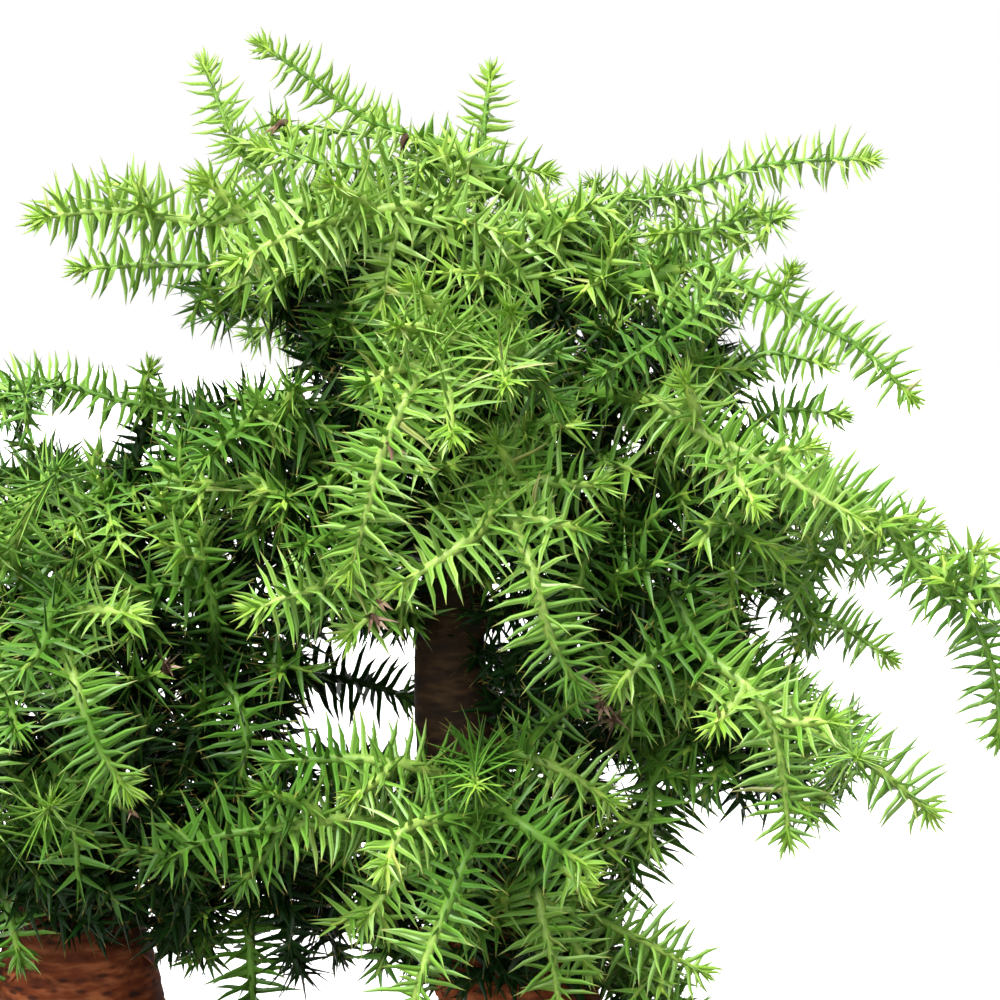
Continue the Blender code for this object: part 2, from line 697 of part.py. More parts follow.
def build_wood(group, tools):
    """Each tree's trunk, leaders and limbs, as one solid."""
    trunks = {"right": RIGHT_TRUNK, "leader": RIGHT_LEADER, "left": LEFT_TRUNK}
    paths = {limb: limb_path(limb, trunks) for limb in LIMBS}
    wood = []
    for name, own, leaders in (("trunk_right", "right", ["leader"]), ("trunk_left", "left", [])):
        tree = trunk_solid(name, trunks[own], 0, group)
        tree.data.materials.append(material("bark"))
        joined = []
        for leader in leaders:
            line = trunks[leader]
            places = [Vector(p[:3]) * MM for p in line]
            joined.append(tube(leader, places, [p[3] for p in line], tools, LEADER_SIDES))
            tools.objects.link(joined[-1])
        for limb, (trunk, _, _) in LIMBS.items():
            if trunk in (own, *leaders):
                joined.append(limb_solid(limb, paths[limb], tools))
        wood.append(combine(tree, joined, "UNION"))
    return wood, paths


def build_soil(group, tools):
    """Soil domed towards the trunks, with a plain hole for each, and a recess over each screen."""
    base = FLOOR_TOP + GAP
    heights = [base, *(row[0] for row in inner_profile()[3:1:-1]), SOIL_EDGE]
    rings = [pot_outline(-inside_at(height) - 2 * GAP, height) for height in heights]
    edge = rings[-1]
    for shrink in (0.86, 0.66, 0.42, 0.18):
        rise = SOIL_DOME * (1 - shrink**2) ** 1.1
        rings.append([Vector((p.x * shrink, p.y * shrink, SOIL_EDGE + rise)) for p in edge])
    soil = new_object("soil", mesh_of(loft(rings), "soil"), group, "soil")
    cutters = [
        trunk_solid("right_hole", RIGHT_TRUNK, GAP, tools, lower=GAP, rows=4),
        trunk_solid("left_hole", LEFT_TRUNK, GAP, tools, lower=GAP, rows=4),
    ]
    for side in (-1, 1):
        room = 2 * GAP
        size = (SCREEN_SIDE + room, SCREEN_SIDE + room, 2 * (SCREEN_THICK + room))
        cutters.append(block("screen_room", size, (side * DRAIN_ACROSS, 0, FLOOR_TOP), tools))
    return combine(soil, cutters, "DIFFERENCE")


class Shoot:
    """One leafy stem: its path, its bare tube, and the tests of what it meets."""

    def __init__(self, name, path, pitch, is_side=False):
        self.name = name
        self.is_side = is_side
        self.path = path
        self.pitch = pitch
        self.obj = None
        self.own = None


def ring_places(length, pitch):
    """Lengths along a shoot where its rings stand: bare at the foot, closer at the tip."""
    foot = BARE_BASE * MM
    tip = [length - gap * MM for gap in TIP_RINGS]
    count = max(1, round((tip[0] - foot) / (pitch * MM)))
    body = [foot + (tip[0] - foot) * i / count for i in range(count)]
    return [0.0, *body, *tip]


def bare_stem(shoot, group):
    path = shoot.path
    places = ring_places(path.length, shoot.pitch)
    radii = [STEM_RADIUS + (TIP_RADIUS - STEM_RADIUS) * (place / path.length) ** 2 for place in places]
    if shoot.is_side:
        radii[0] = ROOT_RADIUS
    tilts = [RING_TWIST * index for index in range(len(places))]
    shoot.obj = tube(shoot.name, [path.at(place) for place in places], radii, group, STEM_SIDES, tilts)
    shoot.own = surface(shoot.obj)


def meets(corners, apex, others):
    """Whether a needle on these corners, a little enlarged, crosses any of the other surfaces."""
    middle = sum(corners, Vector()) / len(corners)
    grown = [corner + (corner - middle).normalized() * NEEDLE_CLEARANCE * MM for corner in corners]
    grown.append(apex + (apex - middle).normalized() * NEEDLE_CLEARANCE * MM)
    count = len(corners)
    faces = [(i, (i + 1) % count, count) for i in range(count)]
    low = np.array(grown).min(axis=0)
    high = np.array(grown).max(axis=0)
    needle = None
    for tree, other_low, other_high in others:
        if (low > other_high).any() or (high < other_low).any():
            continue
        needle = needle or BVHTree.FromPolygons(grown, faces)
        if needle.overlap(tree):
            return True
    return False


def needle_ends(middle, shoot, scale_length, lean):
    """Places to try for a needle's tip, best first: its own, then leaning aside, then shorter."""
    along = shoot.path.nearest(middle)
    axis = shoot.path.at(along)
    tangent = shoot.path.tangent(along)
    outward = (middle - axis) - tangent * (middle - axis).dot(tangent)
    outward.normalize()
    turn = DICE.uniform(-TURN_SPREAD, TURN_SPREAD)
    for extra_lean, extra_turn, share in TRIES:
        side = Matrix.Rotation(math.radians(turn + extra_turn), 3, tangent) @ outward
        angle = lean + math.radians(extra_lean)
        yield axis + (side * math.sin(angle) + tangent * math.cos(angle)) * scale_length * share


def grow_needles(shoot, others):
    """Raises a needle from each face of the stem, apart from its bare foot and where it would cross."""
    path = shoot.path
    bm = bmesh.new()
    bm.from_mesh(shoot.obj.data)
    grown = 0
    for face in list(bm.faces):
        middle = face.calc_center_median()
        along = path.nearest(middle)
        from_tip = path.length - along
        end_cap = face.normal.dot(path.tangent(along)) > 0.8
        if not end_cap and along < BARE_BASE * MM:
            continue
        if end_cap:
            if from_tip > 2 * MM:
                continue
            apex = middle + path.tangent(path.length) * BUD_LENGTH * MM
            if meets([v.co for v in face.verts], apex, others):
                continue
        else:
            near = min(1.0, from_tip / (TIP_ZONE * MM))
            length = NEEDLE_LENGTH * MM * (TIP_LENGTH_SHARE + (1 - TIP_LENGTH_SHARE) * near)
            length *= DICE.uniform(*LENGTH_SPREAD)
            lean = NEEDLE_LEAN * (TIP_LEAN_SHARE + (1 - TIP_LEAN_SHARE) * near)
            lean += math.radians(DICE.uniform(-LEAN_SPREAD, LEAN_SPREAD))
            corners = [v.co.copy() for v in face.verts]
            apex = next((end for end in needle_ends(middle, shoot, length, lean)
                         if not meets(corners, end, others)), None)
            if apex is None:
                continue
        made = bmesh.ops.poke(bm, faces=[face])
        made["verts"][0].co = apex
        grown += 1
    bmesh.ops.triangulate(bm, faces=bm.faces, quad_method="SHORT_EDGE")
    bm.to_mesh(shoot.obj.data)
    bm.free()
    shoot.own = surface(shoot.obj)
    return grown


def stands_clear(foot, direction, wood):
    """Whether a stem's round foot keeps off the wood all the way across."""
    aside = direction.orthogonal().normalized() * STEM_RADIUS * MM
    rim = [foot + Matrix.Rotation(math.radians(45 * turn), 3, direction) @ aside for turn in range(8)]
    disc = BVHTree.FromPolygons([foot, *rim], [(0, turn + 1, (turn + 1) % 8 + 1) for turn in range(8)])
    return all(
        not disc.overlap(tree) and min(tree.find_nearest(point)[3] for point in rim) > GAP * MM
        for tree, _, _ in wood
    )


def leave_point(inside, direction, wood):
    """Where a stem's foot stands just clear of the wood, on a line from inside it."""
    hits = [tree.ray_cast(inside, direction)[3] for tree, _, _ in wood]
    reach = min(hit for hit in hits if hit) + GAP * MM
    while not stands_clear(inside + direction * reach, direction, wood):
        reach += CLEAR_STEP * MM
    return inside + direction * reach


def spray_path(limb, share, places, wood):
    """The path of a spray's main shoot, from the limb's surface through the places."""
    at = limb.length * min(share, LIMB_LAST_SHARE)
    inside = limb.at(at)
    tangent = limb.tangent(at)
    toward = (places[0] - inside).normalized()
    if share < 1:
        away = (toward - tangent * toward.dot(tangent)).normalized()
        toward = (away + tangent * LEAVE_LEAN).normalized()
    else:
        toward = tangent
    foot = leave_point(inside, toward, wood)
    reach = (places[0] - foot).length
    return Path(smooth_path([foot, foot + toward * min(MAIN_START * MM, reach * 0.3), *places]))


def side_path(parent, share, places):
    """A side shoot's path, from the middle of its parent stem."""
    at = parent.length * share
    inside = parent.at(at)
    tangent = parent.tangent(at)
    toward = (places[0] - inside).normalized()
    away = (toward - tangent * toward.dot(tangent)).normalized()
    lean = (away + tangent * LEAVE_LEAN).normalized()
    return Path(smooth_path([inside, inside + lean * SIDE_START * MM, *places]))


def nearest_gap(path, others):
    """The least distance from a path, past its first stretch, to the points of other paths."""
    own = path.points[path.marks > NEAR_ROOT * MM]
    apart = own[:, None, :] - np.concatenate(others)[None, :, :]
    return float(np.sqrt((apart**2).sum(axis=2)).min())


def bent_clear(make, places, taken):
    """The path through the places, or the least shifted one that keeps off the paths already there."""
    tried = []
    for size in SHIFTS:
        for direction in ((0, 1, 0), (0, -1, 0), (0, 0, 1), (0, 0, -1), (0.7, 0, 0.7), (-0.7, 0, -0.7)):
            shift = Vector(direction) * size * MM
            path = make([place + shift * ((i + 1) / len(places)) ** 0.5 for i, place in enumerate(places)])
            room = nearest_gap(path, taken)
            if room > STEM_CLEARANCE * MM:
                return path
            tried.append((room, path))
    return max(tried, key=lambda attempt: attempt[0])[1]


def fan_places(limb, index, count):
    """A shoot that carries on outwards from a limb's end and droops, one of a fan."""
    end = limb.at(limb.length)
    out = end - limb.at(0)
    out.z = 0
    out.normalize()
    spread = (index - (count - 1) / 2) * FAN_SPREAD + DICE.uniform(-FAN_TURN_SPREAD, FAN_TURN_SPREAD)
    out = Matrix.Rotation(math.radians(spread), 3, "Z") @ out
    length = DICE.uniform(*FAN_LENGTH) * MM
    rise = UP * length * FAN_RISE
    return [end + out * length * FAN_BENDS[0] + rise, end + out * length * FAN_BENDS[1] + rise * 0.2,
            end + out * length - UP * length * FAN_DROOP]


def fan_sides(path):
    """Short side shoots, one each way in turn, for a spray of the fan."""
    sides = []
    for index, share in enumerate(FAN_SIDE_SHARES):
        at = path.at(path.length * share)
        tangent = path.tangent(path.length * share)
        aside = tangent.cross(UP).normalized() * (1 if index % 2 else -1)
        length = path.length * DICE.uniform(*FAN_SIDE_LENGTH)
        reach = (aside * 0.85 + tangent * 0.55).normalized() * length
        over = at + reach * 0.6 + UP * length * 0.08
        sides.append((share, [over, at + reach - UP * length * FAN_RISE]))
    return sides


def spray_rows(limbs):
    """Name, limb, share, places, side rows and ring spacing of each spray; a fan has no side rows yet."""
    rows = []
    for name, (limb, share, places, sides) in SPRAYS.items():
        side_rows = [(at, [seen(*place) for place in side]) for at, side in sides]
        rows.append((name, limb, share, [seen(*place) for place in places], side_rows, PITCH))
    for limb, count in FANS.items():
        for index in range(count):
            places = fan_places(limbs[limb], index, count)
            rows.append((f"{limb}_{index + 1}", limb, FAN_SHARES[index], places, None, FAN_PITCH))
    return rows


def plan_sprays(limbs, wood):
    """Every shoot's path, sprays of the front first, each kept clear of those before it."""
    sprays = {}
    for name, limb, share, places, sides, pitch in spray_rows(limbs):
        taken = [path.points for other, path in limbs.items() if other != limb]
        taken += [shoot.path.points for spray in sprays.values() for shoot in spray]
        path = bent_clear(lambda moved: spray_path(limbs[limb], share, moved, wood), places, taken)
        spray = [Shoot("spray_" + name, path, pitch)]
        taken.append(limbs[limb].points)
        for at, row in fan_sides(path) if sides is None else sides:
            side = bent_clear(lambda moved: side_path(path, at, moved), row, taken)
            taken.append(side.points)
            spray.append(Shoot(f"side_{len(spray)}_of_{name}", side, pitch, True))
        sprays[name] = spray
    return sprays


def build_sprays(group, tools, limbs, wood_objects):
    wood = [surface(obj) for obj in wood_objects]
    sprays = plan_sprays(limbs, wood)
    shoots = [shoot for spray in sprays.values() for shoot in spray]
    for shoot in shoots:
        bare_stem(shoot, tools)
    needles = 0
    for shoot in shoots:
        others = [other.own for other in shoots if other is not shoot]
        needles += grow_needles(shoot, others + wood)
    for name, spray in sprays.items():
        main = spray[0].obj
        group.objects.link(main)
        main.data.materials.append(material("foliage"))
        sides = [shoot.obj for shoot in spray[1:]]
        for side in sides:
            tools.objects.link(side)
        if sides:
            combine(main, sides, "UNION", "MANIFOLD")
            keep_largest(main.data)
    print(len(sprays), "sprays,", len(shoots), "shoots,", needles, "needles,",
          round(sum(shoot.path.length for shoot in shoots) / MM), "mm of stem")


def shade(group):
    for obj in group.objects:
        obj.data.shade_smooth()
        obj.data.set_sharp_from_angle(angle=math.radians(38))


def centre_on_base(group):
    """Moves everything so that the origin is under the middle of the whole width and depth."""
    corners = np.array([vert.co for obj in group.objects for vert in obj.data.vertices])
    across, depth, _ = (corners.min(axis=0) + corners.max(axis=0)) / 2
    for obj in group.objects:
        obj.data.transform(Matrix.Translation((-across, -depth, 0)))


def main():
    for obj in list(bpy.data.objects):
        bpy.data.objects.remove(obj)
    group = collection("hoop_pine_bonsai")
    tools = collection("tools")
    build_pot(group, tools)
    build_screens(group, tools)
    build_soil(group, tools)
    wood, limbs = build_wood(group, tools)
    build_sprays(group, tools, limbs, wood)
    centre_on_base(group)
    shade(group)
    bpy.data.collections.remove(tools)


main()
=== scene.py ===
"""Looks of the hoop pine bonsai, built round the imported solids. Metres, +Z up.

Places in the tables are in millimetres from the middle of the pot's footprint, as in the source of
the solids, and are moved by the pot's own place in the frame when they become points.
"""

import itertools
import json
import math
import random

import bmesh
import bpy
import numpy as np
from mathutils import Matrix, Vector, kdtree, noise
from mathutils.bvhtree import BVHTree

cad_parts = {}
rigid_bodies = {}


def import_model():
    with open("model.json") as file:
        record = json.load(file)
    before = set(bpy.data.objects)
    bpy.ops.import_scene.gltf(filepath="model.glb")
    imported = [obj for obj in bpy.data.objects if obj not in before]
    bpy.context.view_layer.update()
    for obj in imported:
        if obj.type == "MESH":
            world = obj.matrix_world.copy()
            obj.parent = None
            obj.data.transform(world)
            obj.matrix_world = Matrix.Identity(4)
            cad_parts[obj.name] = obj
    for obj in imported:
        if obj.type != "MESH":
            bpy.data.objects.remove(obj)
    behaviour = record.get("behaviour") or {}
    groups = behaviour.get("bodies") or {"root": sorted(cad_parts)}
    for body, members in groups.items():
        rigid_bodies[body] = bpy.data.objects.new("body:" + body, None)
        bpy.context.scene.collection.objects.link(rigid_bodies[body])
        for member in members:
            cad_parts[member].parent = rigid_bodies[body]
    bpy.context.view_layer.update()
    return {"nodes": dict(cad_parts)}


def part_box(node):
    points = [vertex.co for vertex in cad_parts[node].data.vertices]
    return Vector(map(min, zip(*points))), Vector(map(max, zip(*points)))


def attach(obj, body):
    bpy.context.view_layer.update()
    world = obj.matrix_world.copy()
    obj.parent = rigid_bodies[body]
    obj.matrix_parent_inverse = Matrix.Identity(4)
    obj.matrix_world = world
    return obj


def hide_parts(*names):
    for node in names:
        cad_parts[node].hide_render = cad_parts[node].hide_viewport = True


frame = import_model()

MM = 0.001
GAP = 0.35
UP = Vector((0, 0, 1))
DICE = random.Random(27)
POT_LOW, POT_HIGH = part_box("pot")
POT_PLACE = Vector(((POT_LOW.x + POT_HIGH.x) / 2, (POT_LOW.y + POT_HIGH.y) / 2, 0))

# The front that the tree is styled for. Places marked "seen" are given as (across, height, depth):
# across and height as they look in the plane of the trunks, depth behind that plane.
VIEW_DISTANCE = 800.0
VIEW_ACROSS = 36.4
VIEW_HEIGHT = 230.0
VIEW_RISE = math.radians(5)
VIEW_HALF = 130.0
VIEW_BACK = VIEW_DISTANCE * math.cos(VIEW_RISE)
EYE = Vector((VIEW_ACROSS, -VIEW_BACK, VIEW_HEIGHT + VIEW_DISTANCE * math.sin(VIEW_RISE)))

# How shoots leave the wood and keep off each other, as the solids do
LIMB_ARCH = 0.07
LIMB_LAST_SHARE = 0.985
LIMB_BASE_RADIUS = 4.2
LIMB_END_RADIUS = 1.9
# Where along a limb its end begins to round off, and the share of its radius left at the end
LIMB_ROUND_FROM = 0.94
LIMB_TIP = 0.4
# Limbs that are slimmer than the rest, as shares of the usual radius
SLIM_LIMBS = {"left_top": 0.5}
LEAVE_LEAN = 0.5
MAIN_START = 5.0
MAIN_START_SHARE = 0.3
SIDE_START = 4.0
CLEAR_STEP = 0.1
STEM_CLEARANCE = 4.0
NEAR_ROOT = 5.0
SOLID_STEM_RADIUS = 1.7
SHIFTS = (0, 3, 5, 7, 9, 12, 15)
SHIFT_WAYS = ((0, 1, 0), (0, -1, 0), (0, 0, 1), (0, 0, -1), (0.7, 0, 0.7), (-0.7, 0, -0.7))

# Stems and needles: a juvenile leaf of this tree is a flat blade set on edge, its foot running down the stem
STEM_RADIUS = 1.6
STEM_TIP_RADIUS = 0.5
STEM_TAPER = 3.2
TWIG_RADIUS = 1.0
NEEDLE_LENGTH = 13.4
GOLDEN_ANGLE = math.radians(137.508)
NEEDLE_LEAN = math.radians(91)
TIP_LEAN = math.radians(34)
# How far needles stray from their turn and lean, in radians, their least and greatest size, the size of the
# last one, and how much broader than its length a small needle stays
TURN_STRAY = 0.35
LEAN_STRAY = 0.24
NEEDLE_SIZES = (0.84, 1.08)
LAST_NEEDLE = 0.45
BREADTH_POWER = 0.45

# Short inner twigs that fill the crown: middle as seen, half sizes, and how many are tried, half at a reach
MASSES = (
    ((14, 290, 4), (50, 27, 42), 3000),
    ((-28, 281, 8), (20, 10, 24), 420),
    ((52, 292, -4), (20, 24, 26), 500),
    ((-18, 186, 2), (14, 9, 26), 200),
    ((100, 157, -12), (30, 9, 18), 260),
    ((128, 214, -14), (12, 9, 8), 90),
    ((-88, 252, -20), (8, 8, 16), 90),
    ((72, 272, 2), (34, 26, 38), 2000),
    ((24, 246, -4), (50, 38, 48), 4800),
    ((82, 216, -2), (42, 30, 44), 3000),
    ((72, 180, -4), (36, 24, 40), 1600),
    ((40, 130, -8), (44, 34, 46), 2600),
    ((-26, 232, 0), (40, 28, 44), 2600),
    ((-10, 203, -2), (28, 9, 34), 600),
    ((-66, 216, 4), (48, 32, 44), 3000),
    ((-72, 172, -2), (46, 30, 46), 2600),
    ((-60, 138, -16), (46, 26, 40), 3000),
    ((-12, 142, -6), (40, 22, 36), 1400),
    ((106, 172, -10), (26, 14, 26), 600),
    ((70, 105, -8), (18, 7, 20), 300),
    ((0, 114, -14), (30, 14, 28), 600),
    ((38, 196, -10), (12, 22, 12), 900),
    ((154, 212, -32), (14, 9, 12), 420),
    ((136, 222, -34), (14, 8, 12), 240),
    ((119, 150, -44), (8, 6, 12), 160),
    ((-44, 113, -8), (10, 8, 14), 420),
    ((-98, 112, 2), (9, 14, 14), 240),
    ((-20, 324, 24), (16, 6, 12), 240),
    ((80, 99, -16), (16, 7, 14), 480),
    ((-64, 309, -20), (16, 5, 10), 160),
    ((-48, 238, -8), (7, 7, 10), 160),
    ((163, 206, -34), (7, 9, 10), 420),
    ((22, 317, -16), (12, 7, 8), 240),
    ((11, 199, -24), (6, 8, 10), 260),
    ((-28, 196, -2), (7, 6, 20), 260),
    ((-22, 174, -2), (6, 6, 16), 200),
    ((-68, 212, -14), (10, 8, 8), 300),
    ((115, 194, 0), (6, 5, 16), 200),
    ((-87, 249, -20), (9, 6, 14), 200),
    ((100, 302, -8), (13, 7, 12), 300),
)
# Openings in the crown, as seen: low and high across, low and high height
OPENINGS = (
    (-96, -46, 269, 284), (-52, -27, 259, 269), (-96, -62, 284, 300), (-8, 27, 170, 194),
    (-38, -22, 90, 108), (-56, -46, 90, 104), (68, 92, 112, 134), (130, 172, 232, 262), (96, 172, 96, 138),
    (130, 149, 190, 208), (138, 158, 166, 192), (82, 110, 96, 106), (78, 96, 128, 148), (-24, -4, 332, 360),
    (-96, -46, 318, 360), (62, 110, 318, 360), (128, 172, 262, 360), (-40, -18, 269, 277),
    (-67, -47, 240, 253), (-86, -68, 243, 256), (-14, 6, 185, 195), (-14, -2, 166, 176), (64, 74, 150, 160),
    (62, 86, 115, 130), (97, 113, 204, 211), (117, 131, 176, 184), (98, 108, 149, 154), (79, 93, 292, 305),
    (96, 107, 267, 277), (36, 47, 305, 318), (-15, 3, 103, 115), (-32, -21, 107, 119), (100, 104, 194, 206),
    (50, 66, 311, 330), (2, 12, 328, 345), (-50, -42, 278, 288), (118, 125, 205, 211), (103, 111, 188, 196),
    (111, 116, 198, 202), (92, 97, 149, 153),
)
# Places, as seen, where painted shade is added and the growth is made old and dark: low and high across, low
# and high height
DIM_PLACES = (
    (-17, 3, 245, 273), (48, 78, 256, 275), (-17, -5, 216, 231), (70, 88, 212, 232), (70, 92, 186, 208),
    (-43, -22, 150, 190), (-96, -76, 166, 212), (-70, -14, 116, 152), (36, 64, 166, 184), (17, 32, 124, 148),
    (38, 54, 134, 150), (-43, -30, 246, 257), (-70, -40, 160, 182), (56, 64, 214, 226), (-34, -6, 152, 182),
    (-96, -84, 150, 186), (-96, -50, 120, 142), (-17, -6, 214, 230), (44, 84, 262, 280), (-66, -28, 236, 252),
    (-96, -76, 236, 256), (26, 40, 156, 176), (-48, -36, 290, 308), (-40, -22, 160, 200), (-20, 0, 218, 232),
)
# Places, as seen, where the growth is young and bright, with less painted shade, although other growth stands
# over it
BRIGHT_PLACES = (
    (58, 98, 98, 152), (94, 132, 190, 222), (-78, -60, 206, 218), (-30, 4, 184, 194), (36, 72, 300, 322),
    (76, 92, 240, 262), (14, 40, 290, 306), (-86, -40, 282, 316), (-20, 14, 316, 340), (-49, -26, 96, 121),
    (4, 36, 302, 324), (18, 40, 224, 244), (-6, 18, 270, 286), (66, 90, 154, 186), (60, 76, 276, 298),
    (14, 38, 200, 214), (72, 88, 231, 241), (58, 72, 248, 259),
)
# What is left of the shade on the bright places, and what is added on the dim ones
BRIGHT_SHARE = 0.4
DIM_BY = 0.6
# How far twigs reach from the growth they leave: first the long ones, then short ones between
TWIG_REACHES = ((13.0, 28.0), (5.5, 28.0))
# How a twig runs: how far back along its stem it leaves, its first millimetres, its bend and its arch as
# shares of its reach, and how much older or younger, and so darker or lighter in painted shade, than its
# place it may be
TWIG_BACK = 0.45
TWIG_EASE = 3.5
TWIG_BEND = 0.6
TWIG_ARCH = 0.06
TWIG_AGES = (-0.12, 0.12)
TWIG_SEED = 31
MOST_POINTS = 120000
# Shade: how far off and how wide the growth counts, how much of it makes full shade, and at how many places
# of a stem it is counted, by kind
SHADE_FROM = 7.0
SHADE_WIDTH = 12.0
SHADE_OVER = 48.0
SHADE_AROUND = 29.0
SHADE_PLACES = {"shoot": 5, "star": 1, "twig": 2, "sleeve": 3, "dry": 1}
# By kind: millimetres between a stem's rings, needle size, and the youngest leaf and the oldest, in painted
# shade
GROWTH = {"shoot": (2.2, 1.0, 0.0, 0.95), "star": (0.8, 0.62, 0.0, 0.7), "twig": (3.4, 0.95, 0.08, 1.0),
          "sleeve": (3.0, 0.95, 0.3, 1.0), "dry": (1.6, 0.7, 0.0, 0.0)}
# By kind: shape of needle, millimetres between needles, of the tip where they crowd and of the bare foot,
# and sides of the stem
CLOTHING = {"shoot": ("long", 0.62, 9.0, 2.2, 7), "star": ("plain", 0.24, 3.4, 0.0, 5),
            "twig": ("plain", 0.85, 6.0, 2.2, 4), "dry": ("plain", 0.7, 6.0, 2.2, 4),
            "sleeve": ("plain", 0.6, 0.2, 2.2, 9)}
SEEDS_PER_LIMB = 100
# Sprays whose needles are short: young, compact growth at the top and the outside
NEEDLE_SHARES = {
    "crown_upright_back": 0.74, "crown_upright": 0.8, "crown_long": 0.66, "right_back_long": 0.7,
    "crown_mass": 0.8, "right_back_pair": 0.75, "right_arch": 0.75, "top_right_hook": 0.8,
    "left_top_branch": 0.75, "crown_left_under": 0.85, "right_low_back": 0.8, "right_far_arch": 0.9,
}
# Dry twigs and leaves left among the green: the seen places of their ends, and their lengths
DRY_TWIGS = (
    ((63, 178, -44), 9), ((66, 172, -42), 9), ((58, 174, -46), 8), ((10, 194, -58), 5), ((-51, 193, -44), 5),
    ((-46, 190, -40), 3), ((13, 242, -92), 2.9), ((11, 321, -12), 3), ((-21, 326, 18), 3.5),
    ((14, 208, -60), 2.9), ((-18, 262, -30), 2.9), ((98, 180, -44), 2.9), ((-60, 150, -60), 2.9),
)
# Sleeves: where on the limb they start, how far they stand out of the wood, their steps and their needle size
SLEEVE_FROM = 0.4
SLEEVE_PROUD = 0.15
SLEEVE_STEPS = 12
SLEEVE_SIZE = 0.8
# By trunk line: the limb whose piece carries its top, and the height from which the top is green
TREE_TOPS = {"right": ("crown_bridge", 262.0), "leader": ("crown_front", 252.0), "left": ("left_top", 200.0)}
# The star of short needles at a shoot's end, and how far it stands past that end
STAR_LENGTH = 3.6
STAR_PAST = 0.6

# Wood and bark
TRUNK_SIDES = 56
TRUNK_STEPS = 12
ROOT_FOOT = 40.0
ROOT_LOBES = 5
ROOT_SPREAD = 0.16
ROOT_SWELL = 0.22
ROOT_FADE = 62.0
LIMB_SIDES = 12
LIMB_RINGS = 18
LIMB_TAPER = 0.7
BARK_VOXEL = 1.55
BARK_EASE = (0.5, 3)
# Relief of the bark: its depth as a share of the girth, least and greatest depth, then how wide and how tall
# hoops are and how low they may be, the same sizes of plates, the size of the grain, how long and how far
# hoops drift, and the shares of all three
BARK_DEPTH = 0.035
BARK_DEPTHS = (0.08, 0.6)
HOOP_SIZE = (9.0, 2.1)
HOOP_LOWEST = -0.5
PLATE_SIZE = (5.0, 3.4)
PLATE_SHIFT = Vector((40, 0, 0))
GRAIN_SIZE = 1.3
DRIFT_SIZE = 14.0
DRIFT_REACH = 5.0
RELIEF_SHARES = (0.62, 0.45, 0.16)
# Flakes that peel from the lower trunk: how many, heights, lengths, widths, lift of the free edge, thickness
FLAKE_SEED = 53
FLAKE_COUNT = 90
FLAKE_HEIGHTS = (46.0, 128.0)
FLAKE_LENGTHS = (4.5, 10.0)
FLAKE_WIDTHS = (1.0, 2.4)
FLAKE_LIFT = 1.5
FLAKE_THICK = 0.3
# The least and greatest share of that lift, how pointed a flake's ends are, how deep its held edge is sunk,
# its greatest lean, its corners, its relief value and its middle's lift
FLAKE_LIFT_SHARES = (0.2, 1.0)
FLAKE_POINTED = 0.9
FLAKE_HELD = 0.25
FLAKE_LEAN = 0.7
FLAKE_CORNERS = 10
FLAKE_RELIEF = 0.6
FLAKE_MIDDLE = 0.35

# Pot, a rounded rectangle of unglazed stoneware on four feet
POT_LENGTH = 300.0
POT_WIDTH = 190.0
POT_CORNER = 26.0
POT_HEIGHT = 52.0
POT_WALL = 7.0
POT_TAPER = 11.0
LIP_HEIGHT = 7.0
LIP_PROUD = 3.0
WALL_RINGS = 10
CORNER_STEPS = 14
FOOT_HEIGHT = 8.0
FOOT_LENGTH = 46.0
FOOT_WIDTH = 18.0
FOOT_CORNER = 6.0
FOOT_IN = (34.0, 15.0)
FOOT_ROWS = ((1.6, 0), (0.9, 0.3), (0.4, 1.2), (0, 4), (-1.5, 9))
FLOOR_TOP = 16.0
DRAIN_RADIUS = 9.0
DRAIN_ACROSS = 70.0
DRAIN_CUT = 24.0
DRAIN_SIDES = 40
WALL_CURVE = 1.4
SHARP_ANGLE = math.radians(40)
# How the wall rounds, outwards and up or down: at its base, up; how far its rows keep off base and lip; under
# the lip, down; on the lip, up; on the rim and inside it, down; then how far down the inner round ends, and
# how high above the floor the inside bends and how far it runs in
BASE_ROWS = ((-2.2, 0), (-0.6, 0.4))
WALL_MARGINS = (1.4, 1.6)
UNDER_LIP = (0.3, 0.6)
LIP_ROWS = ((-1.4, 0.1), (-0.4, 0.7), (0, 1.7))
RIM_ROWS = ((0, 1.9), (-0.35, 0.9), (-1.1, 0.2), (-2.0, 0))
INNER_ROWS = ((2.2, 0), (0.9, 0.3))
INNER_DOWN = 1.2
FLOOR_BENDS = (15, 4)
FLOOR_IN = 3

# Soil
SOIL_LOW = 46.0
GRIT_APART = 3.5
GRIT_SIZES = (0.9, 1.9)
GRIT_DENSITY = 400000.0
GRIT_SEED = 3
GRIT_TINT_SEED = 9
GRIT_TURN = 6.28
GRIT_CORNERS = (0.78, 1.12)
GRAIN_SEED = 5

# Finishes: the sizes of their patterns in millimetres, drawn as large as they need to be to show
STEM_MOTTLE = 1.4286
BARK_STREAK = (8.3333, 8.3333, 2.381)
BARK_PATCH = 18.182
BARK_PIT = (6.6667, 6.6667, 2.381)
CLAY_CLOUD = 55.556
CLAY_SPECK = 1.1111
GRIT_DUST = 1.25
SCREEN_DUST = 3.3333
# Leaf age at which it is full grown and half in painted shade, the heights over which leaves turn paler
# towards the top, partly young growth and partly painted light, and how far they do, the light that a leaf
# lets through, and the heights where thin wood turns green
HALF_SHADE_AGE = 0.5
LEAF_THROUGH = 0.24
PALE_HEIGHTS = (255.0, 325.0)
PALE_MOST = 0.45
GREEN_WOOD_HEIGHTS = (280.0, 310.0)
# By bark: heights between which it darkens with weathering and painted shade under the crown, and between
# which it is thin and green
BARK_HEIGHTS = {"weathered_and_shaded_bark": ((120, 156), (200, 240)), "fresh_copper_bark": ((108, 134), (150, 190))}
GRIT_COLOURS = ((0.0, "#6E4A30"), (0.3, "#8A6440"), (0.55, "#A8875E"), (0.75, "#5A4234"), (0.9, "#C4B79E"),
                (1.0, "#3C3430"))

